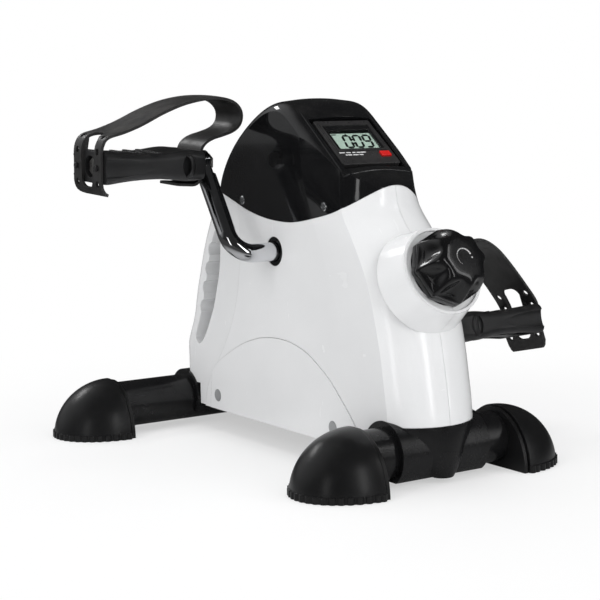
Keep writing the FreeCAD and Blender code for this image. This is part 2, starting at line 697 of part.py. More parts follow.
def display_housing():
    unit = console_block(UNIT_HALF_W, 1.0, UNIT_LEN, UNIT_LOW, UNIT_HIGH,
                         end_half=UNIT_HALF_W + 1.0)
    # if a fillet fails, the housing keeps the edges it has by then
    try:
        unit = unit.makeFillet(1.6, [e for e in unit.Edges if upright(e)])
        unit = unit.makeFillet(0.7, [e for e in unit.Edges if abs(
            height_over_console(e.CenterOfMass) - UNIT_HIGH) < 1e-3])
    except Exception:
        pass
    unit = unit.cut(console_block(25.5, 4.0, 53.0, UNIT_LOW + 1.2, UNIT_HIGH - 1.6))
    # raised bezel round the window
    bezel = console_block(25.0, 6.0, 40.5, UNIT_HIGH - 0.2, UNIT_HIGH + 0.7)
    bezel = bezel.cut(console_block(23.4, 7.6, 38.9, UNIT_HIGH - 1, UNIT_HIGH + 2))
    unit = unit.fuse(bezel)
    unit = unit.cut(console_block(WINDOW_HALF, WINDOW_START, WINDOW_END,
                                  UNIT_HIGH - 3, UNIT_HIGH + 3))
    unit = unit.cut(console_patch(BUTTON_X0 - 0.2, BUTTON_X1 + 0.2, BUTTON_START - 0.2,
                                  BUTTON_END + 0.2, UNIT_HIGH - 3, UNIT_HIGH + 3))
    cable_hole = console_block(3, 25, 31, UNIT_LOW - 2, UNIT_LOW + 3)
    return largest(unit.cut(cable_hole))


def mode_button():
    button = console_patch(BUTTON_X0, BUTTON_X1, BUTTON_START, BUTTON_END,
                           UNIT_HIGH - 1.55, UNIT_HIGH + 1.5)
    # if the fillet fails, the button keeps its sharp top edges
    try:
        button = button.makeFillet(0.5, [e for e in button.Edges if height_over_console(
            e.CenterOfMass) > UNIT_HIGH + 1.4])
    except Exception:
        pass
    stem = console_patch(BUTTON_X0 + 3, BUTTON_X1 - 3, BUTTON_START + 1.2, BUTTON_END - 1.2,
                         UNIT_LOW + 4.15, UNIT_HIGH - 1.5)
    return largest(button.fuse(stem).removeSplitter())


save("display_housing", display_housing())
save("display_window", console_block(WINDOW_HALF - 0.05, WINDOW_START + 0.05,
                                     WINDOW_END - 0.05, UNIT_HIGH - 1.2, UNIT_HIGH - 0.2))
save("lcd_panel", console_block(WINDOW_HALF + 1.2, WINDOW_START - 1.0, WINDOW_END + 1.0,
                                UNIT_HIGH - 3.4, UNIT_HIGH - 1.65))
save("display_board", console_block(25.3, 4.5, 52.5, UNIT_LOW + 2.1, UNIT_LOW + 3.1))
save("battery_cell", cylinder(on_console(-14, 46, UNIT_LOW + 3.15), CONSOLE_OUT, 4.6, 1.8))
save("mode_button", mode_button())

# ---------------------------------------------------------------- crank: one bent rod
# Local frame: axis along X, left arm up +Z.
FLAT_T = 10.0                          # flattened arm ends
FLAT_OUT = ARM_X + ROD_R - 0.7         # outer face of the flat
FLAT_IN = FLAT_OUT - FLAT_T
FLAT_START, FLAT_END = ARM_R - 15, ARM_R + 15.5
EYE_R = 10.5                           # round end of an arm
AXLE_R = 5.0
DRUM_PIN_R = 2.5
CRANK_AXIS = Vector(0, CRANK_Y, CRANK_Z)


def to_crank(shape):
    """From the local frame to its place."""
    placed = shape.copy()
    placed.rotate(Vector(0, 0, 0), ACROSS, -ARM_DIR_DEG)
    placed.translate(CRANK_AXIS)
    return placed


def drum_pin(radius, half_length):
    """Cylinder square across the rod, for the drum pin and its hole."""
    return cylinder(Vector(0, -half_length, 0), DEPTH, radius, 2 * half_length)


def arm(side, up):
    """One side of the rod; up is the sign of z its arm points to."""
    straight = ARM_X - ARM_BEND_R
    section = Part.Face(Part.Wire([Part.makeCircle(ROD_R, Vector(side * straight, 0, 0),
                                                   ACROSS)]))
    bend = section.revolve(Vector(side * straight, 0, up * ARM_BEND_R), DEPTH, 90 * (-side * up))
    shape = fuse([
        cyl_x(0, 0, 0, ROD_R, straight, side),
        bend,
        cylinder(Vector(side * ARM_X, 0, up * ARM_BEND_R), Vector(0, 0, up), ROD_R,
                 ARM_R - ARM_BEND_R)])
    z0, z1 = sorted((up * FLAT_START, up * FLAT_END))
    for near, far in ((FLAT_OUT, FLAT_OUT + 20), (FLAT_IN - 20, FLAT_IN)):
        shape = shape.cut(side_block(side, near, far, -20, 20, z0, z1))
    shape = shape.fuse(cyl_x(side * FLAT_IN, 0, up * ARM_R, EYE_R, FLAT_T, side))
    return shape.cut(cyl_x(side * (FLAT_IN - 5), 0, up * ARM_R, AXLE_R, FLAT_T + 10, side))


def crank_rod():
    rod = fuse([arm(-1, 1), arm(1, -1)]).cut(drum_pin(DRUM_PIN_R, 20))
    return largest(to_crank(rod))


save("crank_rod", crank_rod())

# ---------------------------------------------------------------- friction drum
MAGNET_Z = 28                          # magnet distance from the crank axis
MAGNET_R = 3.0


def friction_drum():
    drum = tube_x(-DRUM_HALF, 0, 0, DRUM_R, ROD_R + 0.02, 2 * DRUM_HALF)
    # ring recesses in both faces leave a web between hub and rim
    drum = drum.cut(tube_x(-DRUM_HALF - 1, 0, 0, 33.5, 14, 9.0))
    drum = drum.cut(tube_x(DRUM_HALF - 8, 0, 0, 33.5, 14, 9.0))
    drum = drum.fuse(cyl_x(-DRUM_HALF, 0, MAGNET_Z, 5.0, 12))
    drum = drum.cut(cyl_x(-DRUM_HALF - 1, 0, MAGNET_Z, MAGNET_R, 4.0))
    return largest(to_crank(drum.cut(drum_pin(DRUM_PIN_R, 20))))


save("friction_drum", friction_drum())
save("drum_pin", to_crank(drum_pin(DRUM_PIN_R, 13.6)))
save("speed_magnet", to_crank(cyl_x(-DRUM_HALF + 0.1, 0, MAGNET_Z, MAGNET_R, 2.9)))


# ---------------------------------------------------------------- crank bushes and rings
def on_crank(side, x, radius, length):
    """Cylinder on the crank axis starting at distance x from the middle plane."""
    return cyl_x(side * x, CRANK_Y, CRANK_Z, radius, length, side)


def crank_bush(side):
    """Flanged bearing in a frame housing."""
    bush = on_crank(side, 16.0, HOUSE_RI, 19.0).fuse(on_crank(side, 35.02, 14.5, 2.2))
    # thin disc that joins the sleeve to the flange
    bush = bush.fuse(on_crank(side, HOUSE_X1, HOUSE_RI, 0.1))
    return largest(bush.cut(on_crank(side, 10.0, ROD_R + 0.05, 40)))


def crank_ring(side):
    """Flanged ring in the shell hole."""
    ring = on_crank(side, HALF_W - WALL - 2.2, 14.5, 2.1)
    ring = ring.fuse(on_crank(side, HALF_W - WALL - 1.0, HOLE_R, 3.1))
    return largest(ring.cut(on_crank(side, 30, ROD_R + 0.9, 30)))


for side, side_name in SIDES:
    save(side_name + "_crank_bush", crank_bush(side))
    save(side_name + "_crank_ring", crank_ring(side))

# ---------------------------------------------------------------- brake band
BAND_HALF = 8.0                        # half width along X
BAND_MID_R = DRUM_R + 1.1
PULLED_EYE = on_knob_axis(122.0)       # centre of the eye the spring pulls on


def brake_band():
    """Band wrapped round the drum, with a straight run to the pulled eye."""
    to_eye = Vector(0, PULLED_EYE.y - CRANK_Y, PULLED_EYE.z - CRANK_Z)
    eye_deg = math.degrees(math.atan2(to_eye.z, to_eye.y))
    tangent_deg = math.degrees(math.acos(BAND_MID_R / to_eye.Length))
    leave_deg = (eye_deg - tangent_deg) % 360.0      # where the band leaves the drum

    wrap = tube_x(-BAND_HALF, CRANK_Y, CRANK_Z, DRUM_R + 2.1, DRUM_R + 0.1, 2 * BAND_HALF)
    sector = [(CRANK_Y, CRANK_Z)]
    for k in range(13):
        angle = math.radians(ANCHOR_DEG + (leave_deg - ANCHOR_DEG) * k / 12.0)
        sector.append((CRANK_Y + 90 * math.cos(angle), CRANK_Z + 90 * math.sin(angle)))
    wrap = wrap.common(prism_yz(sector, -20, 20))

    leave = math.radians(leave_deg)
    start = Vector(0, CRANK_Y + BAND_MID_R * math.cos(leave),
                   CRANK_Z + BAND_MID_R * math.sin(leave))
    run = PULLED_EYE - start
    length = run.Length
    run = run * (1.0 / length)
    normal = Vector(0, -run.z, run.y)
    across = ACROSS * BAND_HALF
    straight = prism([start + normal - across, start - normal - across,
                      start - normal + across, start + normal + across], run * (length - 2.0))

    pulled_eye = through_x(PULLED_EYE.y, PULLED_EYE.z, 5.0, BAND_HALF)
    anchor_eye = through_x(ANCHOR_Y, ANCHOR_Z, 6.0, BAND_HALF)
    band = fuse([wrap, straight, pulled_eye, anchor_eye])
    band = band.cut(through_x(PULLED_EYE.y, PULLED_EYE.z, 2.6, 20))
    band = band.cut(through_x(ANCHOR_Y, ANCHOR_Z, ANCHOR_PIN_R + 0.05, 20))
    return largest(band.cut(through_x(CRANK_Y, CRANK_Z, DRUM_R + 0.1, 20)))


save("brake_band", brake_band())
save("brake_anchor_pin", through_x(ANCHOR_Y, ANCHOR_Z, ANCHOR_PIN_R, 18.0))
save("spring_pin", through_x(PULLED_EYE.y, PULLED_EYE.z, 2.5, 7.6))

# ---------------------------------------------------------------- nut, spring, screw and bush
NUT_FRONT, NUT_BACK = 56.0, 68.0       # distances back along the knob axis
SCREW_R = 4.0
SPRING_PITCH, SPRING_TURNS = 3.6, 11
SPRING_R, WIRE_R = 4.4, 0.8


def tension_nut():
    nut = knob_block(NUT_FRONT, NUT_BACK, 7.05).fuse(knob_cyl(NUT_BACK + 6, 5.4, 7))
    return largest(nut.cut(knob_cyl(NUT_BACK + 3.5, SCREW_R + 0.06, 30)))


def tension_spring():
    """Spring between the nut and the pulled eye of the band."""
    length = SPRING_PITCH * SPRING_TURNS
    helix = Part.makeHelix(SPRING_PITCH, length, SPRING_R)
    section = Part.Wire([Part.makeCircle(WIRE_R, Vector(SPRING_R, 0, 0), DEPTH)])
    spring = Part.Wire(helix.Edges).makePipeShell([section], True, True)
    spring.Placement = FreeCAD.Placement(on_knob_axis(NUT_BACK + 7.6 + length),
                                         FreeCAD.Rotation(UP, KNOB_OUT))
    return spring


def tension_screw():
    """Long screw with a collar inside the boss face and a thicker end in the knob."""
    screw = knob_cyl(66.0, SCREW_R, 72.0).fuse(knob_cyl(BOSS_FACE + 10, 5.9, 10.0))
    screw = largest(screw.removeSplitter())
    knob_end = knob_cyl(BOSS_FACE + 0.1, 4.98, BOSS_FACE + 7.1)
    return largest(screw.fuse(knob_end).removeSplitter())


def knob_bush():
    """Flanged bush that carries the screw in the shell."""
    bush = knob_cyl(BOSS_FACE + WALL + 1.8, 9.0, 1.7)
    bush = bush.fuse(knob_cyl(BOSS_FACE + WALL + 0.5, 6.15, WALL + 0.4))
    return largest(bush.cut(knob_cyl(40, 5.95, 60)))


save("tension_nut", tension_nut())
save("tension_spring", tension_spring())
save("tension_screw", tension_screw())
save("knob_bush", knob_bush())

# ---------------------------------------------------------------- knob
KNOB_BACK, KNOB_FACE = 13.2, -16.5     # its end planes, distances back along the axis
KNOB_SKIRT = KNOB_BACK - 4.5           # front of the skirt
KNOB_LOBES = 8


def lobed(back, radius, depth):
    """Closed lobed outline square to the knob axis."""
    count = 96
    points = []
    for k in range(count):
        angle = 2 * math.pi * k / count
        reach = radius + depth * math.cos(KNOB_LOBES * angle)
        points.append(on_knob_axis(back) + ACROSS * (reach * math.cos(angle))
                      + KNOB_UP * (reach * math.sin(angle)))
    return closed_spline(points)


def tension_knob():
    skirt = Part.makeLoft([lobed(KNOB_BACK, KNOB_R - 0.9, 0.7),
                           lobed(KNOB_SKIRT, KNOB_R - 0.9, 0.9)], True, True)
    grip = Part.makeLoft([lobed(KNOB_SKIRT, KNOB_R - 1.3, 0.9), lobed(-8.0, KNOB_R - 4.2, 2.2),
                          lobed(KNOB_FACE, KNOB_R - 7.6, 3.0)], True, False)
    knob = fuse([skirt, grip])
    # hollow from behind, round a central hub
    inward = KNOB_OUT * -1
    hub = cylinder(on_knob_axis(-2), inward, 9.0, 40)
    knob = knob.cut(cylinder(on_knob_axis(0), inward, 26.0, 30).cut(hub))
    return largest(knob.cut(knob_cyl(KNOB_BACK + 5, 5.0, KNOB_BACK + 14.5)))


save("tension_knob", tension_knob())

# ---------------------------------------------------------------- speed sensor and its cable
# cable from the sensor up to the back of the display unit: x, y, z
CABLE = [(-13.6, -6, 138.8), (-13.6, -6.5, 132), (-13.6, -16, 124), (-13.6, -40, 124),
         (-13.4, -62, 140), (-11, -68, 170), (-6, -66, 205), (-1, -63.5, 238)]
CABLE_R = 1.0


def sensor_cable():
    points = [Vector(*point) for point in CABLE] + [on_console(0, 28, UNIT_LOW + 0.6)]
    path = Part.Wire([spline(points)])
    edge = path.Edges[0]
    section = Part.Wire([Part.makeCircle(CABLE_R, points[0],
                                         edge.tangentAt(edge.FirstParameter))])
    return path.makePipeShell([section], True, True)


save("speed_sensor", block(-14.98, -12.5, -12.0, 0.0, 139.0, 149.0))
save("sensor_cable", sensor_cable())

# ---------------------------------------------------------------- pedals
# Local frame: right pedal, axle on the X axis.
PEDAL_LEN = PEDAL_OUT - PEDAL_IN
# sections: fraction of the length, half depth, half height, corner radius
PEDAL_SECTIONS = [(0, 30.0, 12.0, 6.5), (0.1, 31.0, 12.8, 6.5), (0.22, 31.2, 12.6, 6.5),
                  (0.36, 30.8, 11.0, 6.2), (0.55, 30.4, 10.4, 6.0), (0.75, 30.8, 11.2, 6.4),
                  (0.9, 31.4, 12.6, 6.6), (1, 31.6, 13.0, 6.6)]
HOLLOW_SPANS = [(0.08, 0.36), (0.39, 0.66), (0.69, 0.91)]   # fractions of the length
PEG_Y = 18.2                           # strap pegs, either side of the axle


def pedal_x(fraction):
    return PEDAL_IN + fraction * PEDAL_LEN


def rounded_rectangle(x, half_y, half_z, radius):
    """Rounded rectangle in a plane of constant x, centred on the axis."""
    mid = radius * (1 - math.sqrt(0.5))
    corners = []
    for y_sign, z_sign in ((1, 1), (-1, 1), (-1, -1), (1, -1)):
        corner = [Vector(x, y_sign * half_y, z_sign * (half_z - radius)),
                  Vector(x, y_sign * (half_y - mid), z_sign * (half_z - mid)),
                  Vector(x, y_sign * (half_y - radius), z_sign * half_z)]
        corners.append(corner if y_sign * z_sign > 0 else corner[::-1])
    edges = []
    for i, corner in enumerate(corners):
        edges.append(arc(*corner))
        edges += lines(corner[2], corners[(i + 1) % 4][0])
    return Part.Wire(edges)


def pedal_local():
    pedal = Part.makeLoft([rounded_rectangle(pedal_x(fraction), *sizes)
                           for fraction, *sizes in PEDAL_SECTIONS], True, False)
    # hollows from below, either side of the axle
    for sign in (-1, 1):
        y0, y1 = sorted((sign * 10.5, sign * 26.0))
        for start, end in HOLLOW_SPANS:
            pedal = pedal.cut(block(pedal_x(start), pedal_x(end), y0, y1, -20, 5.6))
    # axle bore and the recess for the bolt head
    pedal = pedal.cut(cyl_x(PEDAL_IN - 1, 0, 0, AXLE_R + 0.06, 140))
    pedal = pedal.cut(cyl_x(PEDAL_OUT - 9, 0, 0, 9.0, 20))
    # long shallow dish in each long side, and a short upright pad near the crank end
    for sign in (-1, 1):
        pedal = pedal.cut(ellipsoid(PEDAL_OUT + 3.0, sign * 31.2, 52.0, 1.9, 7.6))
        pedal = pedal.fuse(ellipsoid(pedal_x(0.17), sign * 30.6, 6.2, 2.6, 9.6))
    # raised ribs across the tread
    ribs = []
    for k in range(5):
        x = pedal_x(0.26) + 12.2 * k
        ribs.append(block(x, x + 2.6, -22, 22, 8.0, 11.6))
    pedal = pedal.fuse(ribs[0]).multiFuse(ribs[1:])
    # pegs through the strap, each with a slightly thicker ring outside it
    pegs = [cyl_x(PEDAL_OUT - 3, sign * PEG_Y, 0, 2.4, STRAP_T + 5.6) for sign in (-1, 1)]
    pegs += [cyl_x(PEDAL_OUT + STRAP_T + 1.2, sign * PEG_Y, 0, 2.55, 1.2) for sign in (-1, 1)]
    pedal = pedal.multiFuse(pegs)
    return largest(pedal.removeSplitter())


# ---------------------------------------------------------------- pedal straps
STRAP_IN = PEDAL_IN - 0.25 - STRAP_T / 2       # centre line of the inner plate
STRAP_OUT = PEDAL_OUT + 0.35 + STRAP_T / 2     # centre line of the outer plate
# Centre lines as (x, z), each in three runs: from under the pedal up the inner plate and over,
# with x from STRAP_IN; then down to the lower end of the outer plate, with x from STRAP_OUT.
LIP = [(20, -16.4), (12, -16.8), (5.5, -17.0), (1.4, -15.0), (0, -10.5)]
# left: a low loop that leans in over the arm
LEFT_OVER = [(0, -3), (0, 5), (-0.8, 12), (-4.5, 17.4), (-12, 21.2), (-22, 23.6), (-32, 27.0),
             (-38.2, 32.2), (-40.2, 39.5), (-38, 46.6), (-31, 52.4), (-19, 55.6), (-3, 55.2),
             (17, 51.4), (37, 44.4), (56, 35.8), (73, 29.0)]
LEFT_DOWN = [(-6.0, 24.2), (-1.4, 18.6), (0, 12), (0, 4), (0, -6), (0, -13.2), (-1.4, -18.0),
             (-4.2, -21.0), (-8.0, -22.6)]
# right: a tall arch over the pedal
RIGHT_OVER = [(0, -3), (0, 5), (0, 14), (0.8, 28), (4, 44), (11, 58), (22, 69.5), (35, 75.5),
              (47, 74.0), (59, 66), (70, 53), (80, 38)]
RIGHT_DOWN = [(-8.2, 28.5), (-3.2, 20.5), (-0.2, 14), (0, 8), (0, 0), (0.6, -8), (1.8, -14),
              (3.2, -20), (4.0, -26.5)]


def strap_outline(path):
    """Closed side outline of a band of thickness STRAP_T along (x, z) points."""
    upper, lower = [], []
    for i, (x, z) in enumerate(path):
        before, after = path[max(0, i - 1)], path[min(len(path) - 1, i + 1)]
        run_x, run_z = after[0] - before[0], after[1] - before[1]
        size = math.hypot(run_x, run_z)
        normal_x, normal_z = -run_z / size, run_x / size
        for points, offset in ((upper, STRAP_T / 2), (lower, -STRAP_T / 2)):
            points.append(Vector(x + normal_x * offset, 0, z + normal_z * offset))
    return Part.Wire([spline(upper)] + lines(upper[-1], lower[-1]) + [spline(lower[::-1])]
                     + lines(lower[0], upper[0]))


def strap_local(over, down):
    path = [(STRAP_IN + x, z) for x, z in LIP + over] + [(STRAP_OUT + x, z) for x, z in down]
    strap = Part.Face(strap_outline(path)).extrude(Vector(0, 2 * STRAP_HALF_Y, 0))
    strap.translate(Vector(0, -STRAP_HALF_Y, 0))
    # one long slot down the outer plate with a prong either side
    strap = strap.cut(block(150, 215, -9.5, 9.5, -16.5, 25.0))
    # axle hole in the inner plate, adjusting holes in the prongs
    strap = strap.cut(cyl_x(80, 0, 0, 6.0, 30))
    for sign in (-1, 1):
        for z in (-17.5, 0.0, 10.8, 21.4):
            strap = strap.cut(cyl_x(170, sign * PEG_Y, z, 2.75, 40))
    return largest(strap)


# ---------------------------------------------------------------- pedal axle and nut
AXLE_HEAD_X = PEDAL_OUT - 8.0
AXLE_END_X = FLAT_IN - 5.2


def axle_local():
    """Bolt with its head in the outer end of the pedal, running through the arm end."""
    shank = cyl_x(AXLE_END_X, 0, 0, AXLE_R, AXLE_HEAD_X - AXLE_END_X)
    return largest(shank.fuse(hexagon_x(AXLE_HEAD_X, 5.5)))


def axle_nut_local():
    """Nut on the bolt, inboard of the arm end."""
    return hexagon_x(AXLE_END_X + 0.7, 4.48).cut(cyl_x(60, 0, 0, AXLE_R, 30))


def to_pedal(side, shape):
    """From the local frame of the right pedal to its place on one side of the crank."""
    lean = math.radians(ARM_DIR_DEG)
    left_arm = Vector(0, math.sin(lean), math.cos(lean))
    placed = mirror_x(shape) if side < 0 else shape.copy()
    placed.rotate(Vector(0, 0, 0), ACROSS, -PEDAL_PITCH[side])
    placed.translate(CRANK_AXIS - left_arm * (side * ARM_R))
    return placed


pedal = pedal_local()
straps = {-1: strap_local(LEFT_OVER, LEFT_DOWN), 1: strap_local(RIGHT_OVER, RIGHT_DOWN)}
axle = axle_local()
for side, side_name in SIDES:
    save(side_name + "_pedal", to_pedal(side, pedal))
    save(side_name + "_pedal_strap", to_pedal(side, straps[side]))
    save(side_name + "_pedal_axle", to_pedal(side, axle))
save("pedal_axle_nuts",
     Part.makeCompound([to_pedal(side, axle_nut_local()) for side, _ in SIDES]))
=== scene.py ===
# A pedal exerciser: a white body on two base tubes, a pedal with a rubber strap on each side,
# a tension knob and a sloping display console. It stands on the floor with +Z up. X runs across
# it, with the right side at +X, and the knob faces -Y, the side the camera is on.
import bisect
import json
import math
import bmesh
import bpy
from mathutils import Vector, Matrix
from mathutils.bvhtree import BVHTree
from mathutils.geometry import delaunay_2d_cdt


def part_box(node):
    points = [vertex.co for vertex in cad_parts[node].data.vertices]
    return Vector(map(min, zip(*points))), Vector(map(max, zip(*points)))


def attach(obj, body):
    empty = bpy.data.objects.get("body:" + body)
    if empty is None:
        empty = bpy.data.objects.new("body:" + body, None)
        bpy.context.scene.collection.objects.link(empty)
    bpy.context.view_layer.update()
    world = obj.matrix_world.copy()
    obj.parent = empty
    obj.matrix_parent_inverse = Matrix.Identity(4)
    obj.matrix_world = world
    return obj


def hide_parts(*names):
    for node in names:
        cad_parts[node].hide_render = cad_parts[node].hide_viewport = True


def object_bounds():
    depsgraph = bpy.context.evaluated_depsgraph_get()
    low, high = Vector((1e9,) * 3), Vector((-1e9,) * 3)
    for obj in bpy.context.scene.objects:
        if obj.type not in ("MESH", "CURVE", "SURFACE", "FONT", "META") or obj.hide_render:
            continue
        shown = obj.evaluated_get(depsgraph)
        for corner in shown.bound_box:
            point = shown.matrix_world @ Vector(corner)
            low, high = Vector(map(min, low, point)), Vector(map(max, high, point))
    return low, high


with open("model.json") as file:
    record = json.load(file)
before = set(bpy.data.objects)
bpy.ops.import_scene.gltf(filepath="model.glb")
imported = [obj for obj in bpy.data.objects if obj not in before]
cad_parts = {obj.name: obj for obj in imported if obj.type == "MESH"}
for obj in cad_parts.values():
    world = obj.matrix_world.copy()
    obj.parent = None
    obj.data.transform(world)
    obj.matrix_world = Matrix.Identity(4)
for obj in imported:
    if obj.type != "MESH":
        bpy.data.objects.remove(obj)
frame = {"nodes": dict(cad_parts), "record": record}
SIZE0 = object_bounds()
NODES = frame["nodes"]
JOINTS = {joint["name"]: joint for joint in frame["record"]["behaviour"]["joints"]}
scene = bpy.context.scene
MM = 0.001
X_AXIS = Vector((1, 0, 0))


# ------------------------------------------------------------------ shader graphs
class Graph:
    """Builds the node tree of a material or a world."""

    def __init__(self, owner, output="ShaderNodeOutputMaterial"):
        owner.use_nodes = True
        self.tree = owner.node_tree
        self.tree.nodes.clear()
        self.out = self.add(output)
        self.coords = self.add("ShaderNodeTexCoord").outputs

    def fill(self, node, inputs):
        """Sets or links inputs, given by name or number; a value that is a socket is linked."""
        for key, value in inputs.items():
            if isinstance(value, bpy.types.NodeSocket):
                self.tree.links.new(value, node.inputs[key])
            else:
                node.inputs[key].default_value = value

    def add(self, kind, inputs=None, **props):
        node = self.tree.nodes.new(kind)
        for key, value in props.items():
            setattr(node, key, value)
        self.fill(node, inputs or {})
        return node

    def finish(self, shader):
        self.fill(self.out, {0: shader})

    def principled(self, inputs):
        return self.add("ShaderNodeBsdfPrincipled", inputs).outputs[0]

    def mapping(self, scale, rotation=(0, 0, 0)):
        return self.add("ShaderNodeMapping", {
            "Vector": self.coords["Object"], "Scale": scale, "Rotation": rotation}).outputs[0]

    def noise(self, scale, detail=4.0, rough=0.55, vector=None, distortion=0.0):
        return self.add("ShaderNodeTexNoise", {
            "Vector": vector or self.coords["Object"], "Scale": scale, "Detail": detail,
            "Roughness": rough, "Distortion": distortion}).outputs["Fac"]

    def ramp(self, value, span, to=(0.0, 1.0), smooth=False):
        return self.add("ShaderNodeMapRange", {
            "Value": value, "From Min": span[0], "From Max": span[1],
            "To Min": to[0], "To Max": to[1],
        }, interpolation_type="SMOOTHSTEP" if smooth else "LINEAR").outputs[0]

    def math(self, operation, first, second):
        return self.add("ShaderNodeMath", {0: first, 1: second}, operation=operation).outputs[0]

    def mix(self, factor, *colours):
        first, second = [(*c, 1.0) if isinstance(c, tuple) else c for c in colours]
        return self.add("ShaderNodeMix", {0: factor, 6: first, 7: second},
                        data_type="RGBA").outputs[2]

    def mix_shader(self, factor, first, second):
        return self.add("ShaderNodeMixShader", {0: factor, 1: first, 2: second}).outputs[0]

    def emission(self, strength):
        return self.add("ShaderNodeEmission", {0: (1, 1, 1, 1), 1: strength}).outputs[0]

    def bump(self, height, strength, distance_mm, normal=None):
        node = self.add("ShaderNodeBump", {
            "Strength": strength, "Distance": distance_mm * MM, "Height": height})
        if normal is not None:
            self.fill(node, {"Normal": normal})
        return node.outputs[0]


# ------------------------------------------------------------------ materials
def surface(name, dark, light, rough, vary, mottle, grain=0.0, grain_mm=0.0, wave_mm=0.0,
            scratch=0.0, dust=0.0, edge=0.0, edge_colour=None, bevel_mm=0.0, metal=0.0,
            coat=0.0, coat_rough=0.04, ior=1.5, brushed=None):
    """Opaque finish.

    dark, light, mottle: the two colours and the scale of the patches between them
    rough, vary: roughness and its spread
    grain, grain_mm, wave_mm: fine bump scale and height, height of a broad waviness
    scratch, dust, edge: strength of scratches, dust on upward faces, a painted highlight mixed
    with wear on bevelled edges
    brushed: noise scale per axis of a directional bump
    """
    material = bpy.data.materials.new(name)
    g = Graph(material)
    patches = g.noise(scale=mottle, detail=5.0)
    colour = g.mix(g.ramp(patches, span=(0.3, 0.7)), dark, light)
    roughness = g.ramp(g.noise(scale=mottle * 2.7, detail=6.0, rough=0.6),
                       span=(0.3, 0.7), to=(rough - vary, rough + vary))
    normal = None
    if bevel_mm:
        normal = g.add("ShaderNodeBevel", {"Radius": bevel_mm * MM}, samples=4).outputs[0]
    if edge:
        # the rounded normal leaves the true one only near an edge; the paler colour there is a
        # painted edge highlight mixed with patchy wear
        true_normal = g.add("ShaderNodeNewGeometry").outputs["Normal"]
        agree = g.add("ShaderNodeVectorMath", {0: normal, 1: true_normal},
                      operation="DOT_PRODUCT").outputs["Value"]
        edge_wear_and_highlight = g.math("MULTIPLY", g.ramp(agree, span=(0.995, 0.93)),
                      g.ramp(g.noise(scale=130.0, detail=6.0, rough=0.7), span=(0.42, 0.72)))
        edge_wear_and_highlight = g.math("MULTIPLY", edge_wear_and_highlight, edge)
        paler = tuple(min(1.0, c * 2.2 + 0.05) for c in light)
        colour = g.mix(edge_wear_and_highlight, colour, edge_colour or paler)
        roughness = g.math("ADD", roughness, g.math("MULTIPLY", edge_wear_and_highlight, 0.2))
    if scratch:
        # two crossing families of thin stretched streaks
        streaks = []
        for scale, rotation, distortion, low in (
                ((26, 420, 60), (0.3, 0.7, 0.45), 0.6, 0.66),
                ((500, 30, 44), (0.8, 0.2, 1.1), 0.5, 0.67)):
            lines = g.noise(scale=1.0, detail=3.0, rough=0.5, vector=g.mapping(scale, rotation),
                            distortion=distortion)
            streaks.append(g.ramp(lines, span=(low, 0.70)))
        marks = g.math("MULTIPLY", g.math("MAXIMUM", *streaks), scratch)
        roughness = g.math("ADD", roughness, g.math("MULTIPLY", marks, 0.25))
    if dust:
        true_normal = g.add("ShaderNodeNewGeometry").outputs["Normal"]
        parts = g.add("ShaderNodeSeparateXYZ", {0: true_normal})
        upward = g.ramp(parts.outputs["Z"], span=(0.35, 1.0))
        spots = g.ramp(g.noise(scale=46.0, detail=8.0, rough=0.75), span=(0.45, 0.75))
        cover = g.math("MULTIPLY", g.math("MULTIPLY", upward, spots), dust)
        colour = g.mix(cover, colour, (0.42, 0.40, 0.37))
        roughness = g.math("ADD", roughness, g.math("MULTIPLY", cover, 0.5))
    if grain_mm:
        normal = g.bump(g.noise(scale=grain, detail=3.0, rough=0.6), strength=0.6,
                        distance_mm=grain_mm, normal=normal)
    if wave_mm:
        normal = g.bump(g.noise(scale=28.0, detail=2.0, rough=0.4), strength=1.0,
                        distance_mm=wave_mm, normal=normal)
    if brushed:
        lines = g.noise(scale=1.0, detail=2.0, rough=0.5, vector=g.mapping(brushed))
        normal = g.bump(lines, strength=0.5, distance_mm=0.02, normal=normal)
    inputs = {"Base Color": colour, "Roughness": roughness, "Metallic": metal, "IOR": ior,
              "Coat Weight": coat, "Coat Roughness": coat_rough}
    if normal is not None:
        inputs["Normal"] = normal
    g.finish(g.principled(inputs))
    return material


def lcd_material():
    """Grey-green display glass with a faint painted glow from emission."""
    material = bpy.data.materials.new("lcd_green")
    g = Graph(material)
    base = g.mix(g.ramp(g.noise(scale=60.0, detail=3.0), span=(0.3, 0.7)),
                 (0.40, 0.50, 0.43), (0.46, 0.56, 0.49))
    fine = g.ramp(g.noise(scale=2400.0, detail=2.0, rough=0.5), span=(0.3, 0.7), to=(0.94, 1.04))
    colour = g.add("ShaderNodeVectorMath", {0: base, "Scale": fine}, operation="SCALE").outputs[0]
    g.finish(g.principled({
        "Base Color": colour,
        "Roughness": g.ramp(g.noise(scale=90.0, detail=3.0), span=(0.3, 0.7), to=(0.22, 0.34)),
        "Normal": g.bump(g.noise(scale=1800.0, detail=2.0), strength=0.4, distance_mm=0.004),
        # painted glow: the display's own colour is also emitted, as if it were lit from inside
        "Emission Color": colour,
        "Emission Strength": 0.22}))
    return material


